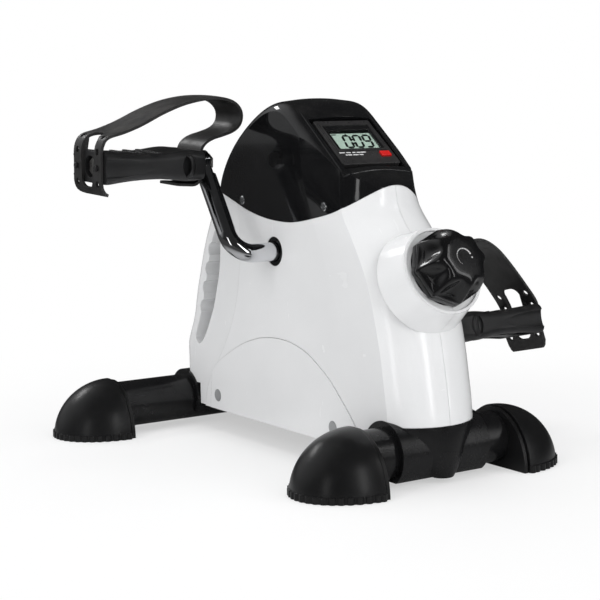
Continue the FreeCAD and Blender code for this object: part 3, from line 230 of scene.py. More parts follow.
def window_material():
    """Clear sheet: transparent, with a weak mirror on its front faces."""
    material = bpy.data.materials.new("clear_window")
    g = Graph(material)
    clear = g.add("ShaderNodeBsdfTransparent", {0: (0.94, 0.955, 0.95, 1)}).outputs[0]
    smears = g.noise(scale=70.0, detail=5.0, rough=0.6)
    shine = g.add("ShaderNodeBsdfGlossy", {
        "Roughness": g.ramp(smears, span=(0.35, 0.75), to=(0.03, 0.12)),
        "Normal": g.bump(g.noise(scale=26.0, detail=2.0), strength=0.5, distance_mm=0.02),
    }).outputs[0]
    fresnel = g.add("ShaderNodeFresnel", {"IOR": 1.45}).outputs[0]
    backfacing = g.add("ShaderNodeNewGeometry").outputs["Backfacing"]
    front = g.math("SUBTRACT", 1.0, backfacing)
    mirror = g.math("MULTIPLY", g.math("MULTIPLY", fresnel, 0.55), front)
    g.finish(g.mix_shader(mirror, clear, shine))
    return material


# edge and edge_colour paint a paler line on bevelled edges: a painted highlight mixed with wear
SURFACES = {
    "white_gloss_abs": dict(
        dark=(0.78, 0.785, 0.79), light=(0.83, 0.833, 0.838), rough=0.2, vary=0.04, mottle=9.0,
        grain=900.0, grain_mm=0.006, wave_mm=0.03, scratch=0.25, dust=0.05, bevel_mm=0.9,
        coat=0.35, coat_rough=0.05),
    "black_gloss_abs": dict(
        dark=(0.0045, 0.0046, 0.005), light=(0.0075, 0.0076, 0.0082), rough=0.085, vary=0.025,
        mottle=14.0, grain=900.0, grain_mm=0.004, wave_mm=0.02, scratch=0.35, dust=0.03,
        edge=0.25, edge_colour=(0.05, 0.05, 0.055), bevel_mm=0.7, coat=0.5, coat_rough=0.03),
    "black_knob": dict(
        dark=(0.004, 0.004, 0.0044), light=(0.007, 0.007, 0.0075), rough=0.17, vary=0.03,
        mottle=30.0, grain=1200.0, grain_mm=0.006, scratch=0.4, dust=0.015, coat=0.25,
        coat_rough=0.09),
    "black_satin": dict(
        dark=(0.005, 0.005, 0.0054), light=(0.009, 0.009, 0.0096), rough=0.27, vary=0.03,
        mottle=22.0, grain=1500.0, grain_mm=0.012, scratch=0.15, dust=0.012, edge=0.15,
        bevel_mm=0.5, ior=1.38),
    "cap_plastic": dict(
        dark=(0.0055, 0.0055, 0.0058), light=(0.0095, 0.0095, 0.01), rough=0.31, vary=0.03,
        mottle=26.0, grain=1700.0, grain_mm=0.02, scratch=0.25, dust=0.012, edge=0.2,
        bevel_mm=0.5, ior=1.38),
    "powder_coat": dict(
        dark=(0.005, 0.005, 0.0055), light=(0.009, 0.009, 0.0095), rough=0.25, vary=0.03,
        mottle=30.0, grain=2100.0, grain_mm=0.016, scratch=0.2, dust=0.01, bevel_mm=0.3,
        coat=0.1, coat_rough=0.2, ior=1.38),
    "frame_paint": dict(
        dark=(0.012, 0.012, 0.013), light=(0.03, 0.03, 0.032), rough=0.45, vary=0.1,
        mottle=24.0, grain=1200.0, grain_mm=0.05, scratch=0.4, dust=0.15),
    "chrome": dict(
        dark=(0.62, 0.63, 0.65), light=(0.72, 0.725, 0.74), rough=0.07, vary=0.03, mottle=40.0,
        grain=1800.0, grain_mm=0.003, scratch=0.6, dust=0.02, metal=1.0, bevel_mm=0.35),
    "zinc_steel": dict(
        dark=(0.42, 0.42, 0.41), light=(0.58, 0.57, 0.54), rough=0.3, vary=0.08, mottle=60.0,
        grain=1400.0, grain_mm=0.02, scratch=0.5, dust=0.05, metal=1.0,
        brushed=(40, 2500, 2500)),
    "grey_plug": dict(
        dark=(0.23, 0.235, 0.24), light=(0.31, 0.315, 0.32), rough=0.42, vary=0.06,
        mottle=70.0, grain=1500.0, grain_mm=0.03, scratch=0.3, dust=0.05, bevel_mm=0.4),
    "drum_iron": dict(
        dark=(0.12, 0.115, 0.11), light=(0.24, 0.23, 0.22), rough=0.42, vary=0.1, mottle=50.0,
        grain=1300.0, grain_mm=0.04, scratch=0.7, metal=1.0, brushed=(2600, 30, 30)),
    "cable_black": dict(
        dark=(0.01, 0.01, 0.01), light=(0.02, 0.02, 0.02), rough=0.45, vary=0.05, mottle=60.0,
        grain=1500.0, grain_mm=0.02),
    "bronze": dict(
        dark=(0.36, 0.21, 0.09), light=(0.5, 0.31, 0.14), rough=0.32, vary=0.08, mottle=70.0,
        grain=1500.0, grain_mm=0.02, metal=1.0, scratch=0.4),
    "nylon": dict(
        dark=(0.62, 0.6, 0.54), light=(0.72, 0.7, 0.63), rough=0.4, vary=0.06, mottle=60.0,
        grain=1500.0, grain_mm=0.02),
    "brake_felt": dict(
        dark=(0.17, 0.13, 0.09), light=(0.31, 0.25, 0.18), rough=0.9, vary=0.05, mottle=90.0,
        grain=2600.0, grain_mm=0.3),
    "pcb": dict(
        dark=(0.01, 0.09, 0.03), light=(0.02, 0.14, 0.05), rough=0.35, vary=0.06, mottle=120.0,
        grain=1800.0, grain_mm=0.03),
    "cell": dict(
        dark=(0.55, 0.55, 0.54), light=(0.66, 0.66, 0.64), rough=0.22, vary=0.05, mottle=90.0,
        grain=1800.0, grain_mm=0.01, metal=1.0, scratch=0.4),
    "red_button": dict(
        dark=(0.55, 0.008, 0.008), light=(0.68, 0.014, 0.012), rough=0.3, vary=0.05,
        mottle=220.0, grain=2200.0, grain_mm=0.02, edge=0.3, edge_colour=(0.9, 0.2, 0.16),
        bevel_mm=0.35),
    "pedal_plastic": dict(
        dark=(0.009, 0.009, 0.0095), light=(0.017, 0.017, 0.018), rough=0.36, vary=0.06,
        mottle=34.0, grain=1900.0, grain_mm=0.05, scratch=0.5, dust=0.08, edge=0.4,
        bevel_mm=0.6),
    "strap_rubber": dict(
        dark=(0.014, 0.0135, 0.0135), light=(0.026, 0.0255, 0.0255), rough=0.42, vary=0.07,
        mottle=40.0, grain=1600.0, grain_mm=0.06, scratch=0.4, dust=0.12),
    "display_housing_plastic": dict(
        dark=(0.02, 0.0195, 0.02), light=(0.03, 0.0295, 0.03), rough=0.3, vary=0.05,
        mottle=60.0, grain=2000.0, grain_mm=0.04, scratch=0.3, dust=0.06, edge=0.5,
        edge_colour=(0.14, 0.14, 0.145), bevel_mm=0.3),
    "lcd_ink": dict(
        dark=(0.004, 0.005, 0.005), light=(0.008, 0.009, 0.009), rough=0.4, vary=0.05,
        mottle=200.0),
    "white_print": dict(
        dark=(0.62, 0.62, 0.62), light=(0.75, 0.75, 0.75), rough=0.45, vary=0.06, mottle=300.0,
        grain=2500.0, grain_mm=0.004),
}
MATERIALS = {name: surface(name, **look) for name, look in SURFACES.items()}
MATERIALS["lcd_green"] = lcd_material()
MATERIALS["clear_window"] = window_material()

# material: the CAD pieces it covers; every other piece is zinc_steel
PIECES = {
    "white_gloss_abs": ("left_body_shell", "right_body_shell", "left_side_cover",
                        "right_side_cover"),
    "black_gloss_abs": ("top_cover",),
    "display_housing_plastic": ("display_housing",),
    "black_knob": ("tension_knob",),
    "black_satin": ("front_tube_saddle", "rear_tube_saddle", "left_crank_ring",
                    "right_crank_ring", "speed_sensor"),
    "cap_plastic": ("front_left_foot_cap", "front_right_foot_cap", "rear_left_foot_cap",
                    "rear_right_foot_cap"),
    "powder_coat": ("front_base_tube", "rear_base_tube"),
    "frame_paint": ("steel_frame",),
    "chrome": ("crank_rod", "top_cover_screws"),
    "grey_plug": ("screw_plugs",),
    "drum_iron": ("friction_drum",),
    "cable_black": ("sensor_cable",),
    "bronze": ("left_crank_bush", "right_crank_bush"),
    "nylon": ("knob_bush",),
    "brake_felt": ("brake_band",),
    "clear_window": ("display_window",),
    "lcd_green": ("lcd_panel",),
    "pcb": ("display_board",),
    "cell": ("battery_cell",),
    "red_button": ("mode_button",),
    "pedal_plastic": ("left_pedal", "right_pedal"),
    "strap_rubber": ("left_pedal_strap", "right_pedal_strap"),
}
PIECE_MATERIAL = {piece: name for name, pieces in PIECES.items() for piece in pieces}
for piece, obj in NODES.items():
    obj.data.materials.clear()
    obj.data.materials.append(MATERIALS[PIECE_MATERIAL.get(piece, "zinc_steel")])
    for poly in obj.data.polygons:
        poly.material_index = 0


# ------------------------------------------------------------------ mesh helpers
def make_object(name, verts, faces, material, smooth_deg=0):
    """Mesh object; edges sharper than smooth_deg stay sharp, and 0 leaves it flat shaded."""
    mesh = bpy.data.meshes.new(name)
    mesh.from_pydata([tuple(v) for v in verts], [], faces)
    mesh.validate()
    mesh.update()
    obj = bpy.data.objects.new(name, mesh)
    scene.collection.objects.link(obj)
    mesh.materials.append(material)
    if smooth_deg:
        mesh.shade_smooth()
        mesh.set_sharp_from_angle(angle=math.radians(smooth_deg))
    return obj


def normals_outward(obj):
    bm = bmesh.new()
    bm.from_mesh(obj.data)
    bmesh.ops.recalc_face_normals(bm, faces=bm.faces)
    bm.to_mesh(obj.data)
    bm.free()


def band(first, second, count):
    """Quads between two closed rings of vertices, given by their first indices."""
    faces = []
    for k in range(count):
        j = (k + 1) % count
        faces.append((first + k, first + j, second + j, second + k))
    return faces


def inside(point, loop):
    x, y = point
    hit = False
    for (x0, y0), (x1, y1) in zip(loop, loop[1:] + loop[:1]):
        if (y0 > y) != (y1 > y) and x < (x1 - x0) * (y - y0) / (y1 - y0) + x0:
            hit = not hit
    return hit


def segment_distance(point, start, end):
    px, py = point
    ax, ay = start
    dx, dy = end[0] - ax, end[1] - ay
    square = dx * dx + dy * dy
    t = 0.0
    if square >= 1e-12:
        t = max(0.0, min(1.0, ((px - ax) * dx + (py - ay) * dy) / square))
    return math.hypot(px - ax - t * dx, py - ay - t * dy)


def flat_sheet(outer, holes, step):
    """Points and triangles of a flat outline with holes, with a staggered grid inside."""
    points, edges = [], []
    for loop in [outer] + holes:
        start = len(points)
        points += loop
        edges += [(start + i, start + (i + 1) % len(loop)) for i in range(len(loop))]
    segments = [(points[a], points[b]) for a, b in edges]

    def in_sheet(point):
        return inside(point, outer) and not any(inside(point, hole) for hole in holes)

    x0, x1 = min(p[0] for p in outer), max(p[0] for p in outer)
    y0, y1 = min(p[1] for p in outer), max(p[1] for p in outer)
    for i in range(1, int((x1 - x0) / step) + 1):
        for j in range(1, int((y1 - y0) / step) + 1):
            x, y = x0 + (i - 0.5 * (j % 2)) * step, y0 + j * step
            if not in_sheet((x, y)):
                continue
            # grid points too close to an outline would make slivers
            gaps = [segment_distance((x, y), a, b) for a, b in segments
                    if abs(a[0] - x) < 4 * step and abs(a[1] - y) < 4 * step]
            if min(gaps or [9.0]) < 0.55 * step:
                continue
            points.append((x, y))
    verts, _, faces, _, _, _ = delaunay_2d_cdt([Vector(p) for p in points], edges, [], 0, 1e-7)
    triangles = []
    for face in faces:
        centre = tuple(sum(verts[i][axis] for i in face) / 3.0 for axis in (0, 1))
        if in_sheet(centre):
            triangles.append(tuple(face))
    return [(v[0], v[1]) for v in verts], triangles


def circle_loop(x, y, radius, count):
    angles = [2 * math.pi * k / count for k in range(count)]
    return [(x + radius * math.cos(a), y + radius * math.sin(a)) for a in angles]


def slot_loop(x0, x1, y0, y1, radius, corner_steps=7):
    """Rectangle with rounded corners, without doubled points."""
    points = []
    for x, y, turn in ((x1 - radius, y1 - radius, 0), (x0 + radius, y1 - radius, 90),
                       (x0 + radius, y0 + radius, 180), (x1 - radius, y0 + radius, 270)):
        for k in range(corner_steps + 1):
            a = math.radians(turn + 90.0 * k / corner_steps)
            point = (x + radius * math.cos(a), y + radius * math.sin(a))
            if not points or math.dist(point, points[-1]) > 1e-4:
                points.append(point)
    if math.dist(points[0], points[-1]) < 1e-4:
        points.pop()
    return points


class Curve:
    """Smooth (Catmull-Rom) curve through points in a plane, read by arc length."""

    def __init__(self, through, per_span=24):
        knots = [Vector(p) for p in through]
        knots = [knots[0] * 2 - knots[1]] + knots + [knots[-1] * 2 - knots[-2]]
        self.points = []
        for a, b, c, d in zip(knots, knots[1:], knots[2:], knots[3:]):
            for k in range(per_span):
                t = k / per_span
                self.points.append(0.5 * (
                    (2 * b) + (c - a) * t + (2 * a - 5 * b + 4 * c - d) * t * t
                    + (3 * b - a - 3 * c + d) * t ** 3))
        self.points.append(knots[-2])
        self.lengths = [0.0]
        for a, b in zip(self.points, self.points[1:]):
            self.lengths.append(self.lengths[-1] + (b - a).length)
        self.length = self.lengths[-1]

    def at(self, along):
        """Point and unit tangent."""
        along = max(0.0, min(self.length, along))
        low = min(bisect.bisect_right(self.lengths, along) - 1, len(self.lengths) - 2)
        high = low + 1
        gap = max(1e-9, self.lengths[high] - self.lengths[low])
        point = self.points[low].lerp(self.points[high], (along - self.lengths[low]) / gap)
        before = self.points[max(0, low - 3)]
        after = self.points[min(len(self.points) - 1, high + 3)]
        return point, (after - before).normalized()

    def nearest(self, x, z, start, end):
        """Arc length of the curve point nearest (x, z), searched from start to end."""
        target = Vector((x, z))
        best = min((i for i, along in enumerate(self.lengths) if start <= along <= end),
                   key=lambda i: (self.points[i] - target).length)
        return self.lengths[best]


def ease_table(table, position):
    """Reads (position, value) stations with an eased step between them."""
    if position <= table[0][0]:
        return table[0][1]
    for (a, value_a), (b, value_b) in zip(table, table[1:]):
        if position <= b:
            t = (position - a) / (b - a)
            return value_a + (value_b - value_a) * (t * t * (3 - 2 * t))
    return table[-1][1]


def clamp01(value):
    return min(1.0, max(0.0, value))


# ------------------------------------------------------------------ pedal straps (mm)
PEG = 5.0                            # the pegs stand this far out of the pedal's outer end
STRAP_THICK = 2.4
STRAP_STEP = 2.2                     # spacing of the outline stations
SHEET_STEP = 3.0                     # spacing of the grid inside the sheet
CENTRE_HOLE_R = 6.0                  # in the inner leg
SLOT_HALF, SLOT_CORNER = 10.0, 7.0   # slot in the outer leg
SMALL_HOLE_R, SMALL_HOLE_PITCH, SMALL_HOLE_SIDE = 2.75, 13.0, 18.2

pedal_low, pedal_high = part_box("right_pedal")
# centre lines of the strap's two upright legs, by the inner and outer ends of the pedal
INNER_X = pedal_low.x / MM - 0.25 - STRAP_THICK / 2
OUTER_X = (pedal_high.x / MM - PEG) + 0.35 + STRAP_THICK / 2

# Centre line of each strap: (outward from that leg, height over the pedal axis).
# It starts under the pedal, climbs the inner leg, arches over and comes down the outer leg.
LIP = [(20, -16.4), (12, -16.8), (5.5, -17.0), (1.4, -15.0), (0, -10.5), (0, -3), (0, 5)]
LEFT_FROM_INNER = LIP + [
    (-0.8, 12), (-4.5, 17.4), (-12, 21.2), (-22, 23.6), (-32, 27.0), (-38.2, 32.2),
    (-40.2, 39.5), (-38, 46.6), (-31, 52.4), (-19, 55.6), (-3, 55.2), (17, 51.4), (37, 44.4),
    (56, 35.8), (73, 29.0)]
LEFT_FROM_OUTER = [
    (-6.0, 24.2), (-1.4, 18.6), (0, 12), (0, 4), (0, -6), (0, -13.2), (-1.4, -18.0),
    (-4.2, -21.0), (-8.0, -22.6)]
RIGHT_FROM_INNER = LIP[1:] + [
    (0, 14), (0.8, 28), (4, 44), (11, 58), (22, 69.5), (35, 75.5), (47, 74.0), (59, 66),
    (70, 53), (80, 38)]
RIGHT_FROM_OUTER = [
    (-8.2, 28.5), (-3.2, 20.5), (-0.2, 14), (0, 8), (0, 0), (0.6, -8), (1.8, -14),
    (3.2, -20), (4.0, -26.5)]


def strap_sheet(length, inner_at, outer_at):
    """The strap laid flat as (along, across), with its holes."""
    # (along, half width): narrow inner end, broad band, broadest round the outer slot
    half_width = [
        (0, 15.0), (4, 18.0), (inner_at, 20.0), (inner_at + 30, 20.0),
        (inner_at + (outer_at - inner_at) * 0.45, 22.5), (outer_at - 40, 24.4),
        (outer_at - 14, 25.0), (outer_at + 10, 25.0), (length - 7, 24.4),
        (length - 2.5, 22.6), (length, 20.0)]
    count = int(length / STRAP_STEP)
    stations = [length * k / count for k in range(count + 1)]
    edge = [(along, ease_table(half_width, along)) for along in stations]
    outer = edge + [(along, -across) for along, across in reversed(edge)]
    holes = [circle_loop(inner_at, 0.0, CENTRE_HOLE_R, 28)]
    slot_end = outer_at + min(16.5, length - outer_at - 6.5)
    holes.append(slot_loop(outer_at - 33.0, slot_end, -SLOT_HALF, SLOT_HALF, SLOT_CORNER))
    # a row of small holes down each side of the slot
    for row in (2, 1, 0, -1):
        for side in (-1, 1):
            holes.append(circle_loop(outer_at - row * SMALL_HOLE_PITCH, side * SMALL_HOLE_SIDE,
                                     SMALL_HOLE_R, 16))
    return flat_sheet(outer, holes, SHEET_STEP)


def strap(label, side, from_inner, from_outer, pitch_deg):
    """One strap; side is the sign of X, pitch_deg turns its -Y edge up."""
    curve = Curve([(INNER_X + x, z) for x, z in from_inner]
                  + [(OUTER_X + x, z) for x, z in from_outer])
    # where the centre line passes the height of the pedal axis
    inner_at = curve.nearest(INNER_X, 0.0, 0, 60)
    outer_at = curve.nearest(OUTER_X, 0.0, curve.length - 90, curve.length)
    flat, triangles = strap_sheet(curve.length, inner_at, outer_at)
    axis = Vector(JOINTS[f"{label}_pedal_turn"]["pos_m"])
    cos_p, sin_p = math.cos(math.radians(pitch_deg)), math.sin(math.radians(pitch_deg))
    outside, inner_face = [], []
    for along, across in flat:
        point, tangent = curve.at(along)
        normal = Vector((-tangent.y, tangent.x))
        # the free part of the loop is dished, its long edges bent toward the pedal
        free = clamp01((along - inner_at - 18) / 20) * clamp01((outer_at - 30 - along) / 25)
        dish = -0.9 * free * (abs(across) / 24.0) ** 2
        for layer, offset in ((outside, STRAP_THICK / 2), (inner_face, -STRAP_THICK / 2)):
            place = point + normal * (offset + dish)
            y, z = across * cos_p + place.y * sin_p, -across * sin_p + place.y * cos_p
            layer.append(Vector((side * place.x * MM, axis.y + y * MM, axis.z + z * MM)))
    count = len(flat)
    faces = []
    for a, b, c in triangles:
        faces.append((a, b, c) if side > 0 else (a, c, b))
        if side > 0:
            faces.append((count + a, count + c, count + b))
        else:
            faces.append((count + a, count + b, count + c))
    # a dict rather than a set, to keep the order; an edge used one way only is on the rim
    edges = dict.fromkeys(e for a, b, c in triangles for e in ((a, b), (b, c), (c, a)))
    for a, b in edges:
        if (b, a) not in edges:
            rim = (b, a, count + a, count + b) if side > 0 else (a, b, count + b, count + a)
            faces.append(rim)
    obj = make_object(f"strap_{label}", outside + inner_face, faces,
                      MATERIALS["strap_rubber"], 40)
    bpy.context.view_layer.objects.active = obj
    normals_outward(obj)
    bevel = obj.modifiers.new("edge", "BEVEL")
    bevel.width = 0.55 * MM
    bevel.segments = 2
    bevel.limit_method = "ANGLE"
    bevel.angle_limit = math.radians(50)
    bevel.harden_normals = False
    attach(obj, f"{label}_pedal")
    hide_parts(f"{label}_pedal_strap")


strap("left", -1, LEFT_FROM_INNER, LEFT_FROM_OUTER, pitch_deg=-3.0)
strap("right", 1, RIGHT_FROM_INNER, RIGHT_FROM_OUTER, pitch_deg=12.5)


# ------------------------------------------------------------------ tension knob
LOBES = 8
KNOB_SEGMENTS = 256
DRAWN_DEPTH = 29.7       # depth the profiles below are drawn to; they are scaled to the CAD knob
BAND_DEPTH = 9.5         # the faceted back band ends here and the scoops begin
HOLLOW_FLOOR = 22.5      # bottom of the bore in the hub

# (distance from the back, ridge radius, scoop depth) in mm
KNOB_PROFILE = [
    (0.0, 29.6, 0.0), (0.5, 30.2, 0.0), (1.2, 30.5, 0.0), (5.0, 30.6, 0.0), (9.0, 30.6, 0.0),
    (9.5, 30.5, 0.15), (9.9, 30.4, 0.9), (10.5, 30.2, 1.6), (12.0, 29.8, 2.6),
    (14.0, 29.1, 3.5), (16.5, 28.2, 4.3), (19.0, 27.2, 4.6), (21.5, 26.0, 4.4),
    (24.0, 24.6, 3.7), (26.0, 23.2, 2.9), (27.4, 21.9, 2.1), (28.3, 20.7, 1.5),
    (28.9, 19.5, 1.0), (29.3, 18.1, 0.6), (29.5, 16.8, 0.35)]
# the nearly flat face: (share of the last profile radius, distance from the back)
KNOB_FACE = [(0.93, 29.62), (0.8, 29.7), (0.6, 29.7), (0.35, 29.7), (0.12, 29.7)]
# the hollow back, from the rim in to the hub and its bore: (distance from the back, radius)
KNOB_HOLLOW = [
    (0.0, 28.6), (0.6, 26.6), (1.2, 26.0), (13.0, 26.0), (13.1, 25.0), (13.1, 10.0),
    (13.0, 9.2), (0.8, 9.0), (0.3, 8.6), (0.3, 5.2), (0.8, 5.0), (HOLLOW_FLOOR, 5.0)]

knob_joint = JOINTS["tension_knob_turn"]
KNOB_OUT = -Vector(knob_joint["axis"]).normalized()          # out of the machine
if KNOB_OUT.y > 0:
    KNOB_OUT = -KNOB_OUT
KNOB_UP = (Vector((0, 0, 1)) - KNOB_OUT * KNOB_OUT.z).normalized()
knob_levels = [v.co.dot(KNOB_OUT) for v in NODES["tension_knob"].data.vertices]
KNOB_BACK, KNOB_FRONT = min(knob_levels), max(knob_levels)
knob_centre = Vector(knob_joint["pos_m"])
KNOB_ORIGIN = knob_centre - KNOB_OUT * knob_centre.dot(KNOB_OUT)
KNOB_SCALE = (KNOB_FRONT - KNOB_BACK) / MM / DRAWN_DEPTH


def knob_point(depth, radius, angle):
    """Point at a drawn depth from the back and a radius, both in mm."""
    radius *= MM
    return (KNOB_ORIGIN + KNOB_OUT * (KNOB_BACK + depth * KNOB_SCALE * MM)
            + X_AXIS * (radius * math.cos(angle)) + KNOB_UP * (radius * math.sin(angle)))


def lobed_radius(depth, ridge, scoop, k):
    """Radius at segment k: straight facets at the back, round lobes at the face."""
    corner = math.radians(180.0 / LOBES)
    # 0 in the middle of a facet, 1 on its corner
    across = abs((LOBES * k / KNOB_SEGMENTS) % 1.0 - 0.5) * 2.0
    t = clamp01((depth - BAND_DEPTH) / 18.0)
    facet = ridge * (math.cos(corner) / math.cos(corner * across))
    rounded = ridge * (0.99 + 0.01 * across)
    share = 0.92 * (1 - t) + 0.25 * t
    # broad scoops with narrow ridges at the band, wider lobes at the face
    hollow = math.cos(math.pi / 2 * across) ** (0.85 + 1.15 * t)
    blunt = 0.35 * max(0.0, (across - 0.94) / 0.06) * (1 - t)
    return facet * share + rounded * (1 - share) - scoop * hollow - blunt


def knob():
    count = KNOB_SEGMENTS
    verts, faces = [], []

    def ring(depth, radius_at):
        verts.extend(knob_point(depth, radius_at(k), 2 * math.pi * k / count)
                     for k in range(count))
        return len(verts) - count

    rings = [ring(depth, lambda k: lobed_radius(depth, ridge, scoop, k))
             for depth, ridge, scoop in KNOB_PROFILE]
    rings += [ring(depth, lambda k: lobed_radius(*KNOB_PROFILE[-1], k) * share)
              for share, depth in KNOB_FACE]
    for first, second in zip(rings, rings[1:]):
        faces += band(first, second, count)
    centre = len(verts)
    verts.append(knob_point(DRAWN_DEPTH, 0, 0))
    faces += [(rings[-1] + k, rings[-1] + (k + 1) % count, centre) for k in range(count)]

    previous = rings[0]
    for depth, radius in KNOB_HOLLOW:
        start = ring(depth, lambda k: radius)
        for k in range(count):
            j = (k + 1) % count
            faces.append((previous + j, previous + k, start + k, start + j))
        previous = start
    centre = len(verts)
    verts.append(knob_point(HOLLOW_FLOOR, 0, 0))
    faces += [(previous + (k + 1) % count, previous + k, centre) for k in range(count)]

    obj = make_object("knob_body", verts, faces, MATERIALS["black_knob"], 42)
    normals_outward(obj)
    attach(obj, "tension_knob")
    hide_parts("tension_knob")


def knob_marks():
    """Raised dots on the face: an arc of growing ones, clockwise, then one large dot."""
    count = 14
    height = 0.12
    verts, faces = [], []
    base = KNOB_ORIGIN + KNOB_OUT * (KNOB_FRONT - 0.03 * MM)

    def dot(arc_radius, angle_deg, radius):
        start = len(verts)
        x = arc_radius * math.cos(math.radians(angle_deg))
        y = arc_radius * math.sin(math.radians(angle_deg))
        for level in (0.0, height * MM):
            for dx, dy in circle_loop(x, y, radius, count):
                verts.append(base + KNOB_OUT * level + X_AXIS * (dx * MM) + KNOB_UP * (dy * MM))
        faces.extend(band(start, start + count, count))
        faces.append(tuple(start + count + k for k in range(count)))
        faces.append(tuple(start + k for k in reversed(range(count))))

    for k in range(17):
        dot(arc_radius=6.7, angle_deg=233 - 13.3 * k, radius=0.2 + 0.03 * k)
    dot(arc_radius=7.2, angle_deg=-8, radius=0.65)
    obj = make_object("knob_scale", verts, faces, MATERIALS["white_print"], 30)
    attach(obj, "tension_knob")


knob()
knob_marks()


# ------------------------------------------------------------------ console
def slope_frame(node):
    """Normal, downhill direction, top level, downhill span and X span of a sloping plate."""
    mesh = NODES[node].data
    largest = max(mesh.polygons, key=lambda p: p.area if p.normal.z > 0.3 else 0.0)
    normal = largest.normal.copy()
    normal.x = 0.0
    normal.normalize()
    down = X_AXIS.cross(normal)
    if down.z > 0:
        down = -down
    levels = [v.co.dot(normal) for v in mesh.vertices]
    downs = [v.co.dot(down) for v in mesh.vertices]
    xs = [v.co.x for v in mesh.vertices]
    return normal, down, max(levels), (min(downs), max(downs)), (min(xs), max(xs))


SLOPE_OUT, SLOPE_DOWN, LCD_TOP, LCD_SPAN, LCD_X = slope_frame("lcd_panel")
_, _, _, WINDOW_SPAN, WINDOW_X = slope_frame("display_window")
LCD_PRINT_LEVEL = LCD_TOP + 0.01 * MM
HOUSING_PRINT_LEVEL = max(
    v.co.dot(SLOPE_OUT) for v in NODES["display_housing"].data.vertices) - 0.7 * MM
DIGITS_MID = (WINDOW_SPAN[0] + WINDOW_SPAN[1]) / 2 + 1.2 * MM


def slope_point(x, down, level):
    return X_AXIS * x + SLOPE_DOWN * down + SLOPE_OUT * level


class SlopePrint:
    """Thin raised print on the console slope. Outlines are (x, down the slope) in metres."""

    def __init__(self, level, height_mm):
        self.levels = (level, level + height_mm * MM)
        self.verts, self.faces = [], []

    def prism(self, outline):
        start, count = len(self.verts), len(outline)
        for level in self.levels:
            self.verts += [slope_point(x, down, level) for x, down in outline]
        area = sum(x0 * y1 - x1 * y0
                   for (x0, y0), (x1, y1) in zip(outline, outline[1:] + outline[:1]))
        order = list(range(count))
        if area >= 0:
            order.reverse()
        self.faces.append(tuple(start + count + k for k in order))
        self.faces.append(tuple(start + k for k in reversed(order)))
        for a, b in zip(order, order[1:] + order[:1]):
            self.faces.append((start + a, start + b, start + count + b, start + count + a))

    def rect(self, x0, x1, top, bottom):
        self.prism([(x0, top), (x1, top), (x1, bottom), (x0, bottom)])

    def dash(self, x_mm, width_mm, top, bottom):
        self.rect((x_mm - width_mm / 2) * MM, (x_mm + width_mm / 2) * MM, top, bottom)

    def build(self, name, material):
        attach(make_object(name, self.verts, self.faces, MATERIALS[material]), "base")


def console_bead():
    """Thin bead laid on the top cover: down one side of the console, along below, up again."""
    radius = 0.62 * MM
    count = 10
    corner_r, corner_x, corner_down = 3.0, 31.5, 67.0
    mesh = NODES["top_cover"].data
    tree = BVHTree.FromPolygons([v.co.copy() for v in mesh.vertices],
                                [tuple(p.vertices) for p in mesh.polygons])
    # (x, down the slope) in mm: the -X side, its corner, and the lower edge to the middle
    path = [(-33.6 - 0.9 * k / 24.0, -13.0 + 80.0 * k / 24.0) for k in range(25)]
    for k in range(1, 8):
        a = math.radians(90.0 * k / 8)
        path.append((-(corner_x + corner_r) + corner_r * (1 - math.cos(a)),
                     corner_down + corner_r * math.sin(a)))
    for k in range(1, 14):
        x = -corner_x + corner_x * k / 13.0
        bow = 2.2 * math.sin(math.pi / 2 * (1 - abs(x) / corner_x))
        path.append((x, corner_down + corner_r - bow))
    path += [(-x, down) for x, down in reversed(path[:-1])]

    path_start = WINDOW_SPAN[0] - 13.55 * MM
    spots = []
    for x, down in path:
        above = slope_point(x * MM, path_start + down * MM, LCD_TOP + 60 * MM)
        hit, normal, _, _ = tree.ray_cast(above, -SLOPE_OUT)
        if hit is not None:
            if normal.dot(SLOPE_OUT) < 0:
                normal = -normal
            spots.append((hit, normal))
    verts, faces = [], []
    last = len(spots) - 1
    for i, (spot, normal) in enumerate(spots):
        tangent = (spots[min(last, i + 1)][0] - spots[max(0, i - 1)][0]).normalized()
        side = tangent.cross(normal).normalized()
        rise = side.cross(tangent).normalized()
        taper = min(1.0, 0.25 + 0.75 * min(i, last - i) / 4.0)
        for k in range(count):
            a = 2 * math.pi * k / count
            verts.append(spot + side * (radius * 1.15 * taper * math.cos(a))
                         + rise * (radius * taper * math.sin(a) - 0.1 * MM))
    for i in range(last):
        faces += band(i * count, (i + 1) * count, count)
    faces.append(tuple(range(count)))
    faces.append(tuple(last * count + k for k in reversed(range(count))))
    obj = make_object("console_bead", verts, faces, MATERIALS["black_gloss_abs"], 50)
    normals_outward(obj)
    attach(obj, "base")


# seven-segment digits (mm)
DIGIT_H, DIGIT_W = 15.0, 6.8
BAR_W, BAR_GAP = 2.3, 0.2
LEAN = math.tan(math.radians(9))
# segment: (x, down the slope, lies across)
SEGMENTS = {
    "a": (0, -DIGIT_H / 2, True), "g": (0, 0, True), "d": (0, DIGIT_H / 2, True),
    "f": (-DIGIT_W / 2, -DIGIT_H / 4, False), "b": (DIGIT_W / 2, -DIGIT_H / 4, False),
    "e": (-DIGIT_W / 2, DIGIT_H / 4, False), "c": (DIGIT_W / 2, DIGIT_H / 4, False),
}
# (lit segments, x): the display reads 0:09 with the last three places filled
DIGITS = (("abcdef", -6.2), ("abcdef", 3.8), ("abcdfg", 13.6))


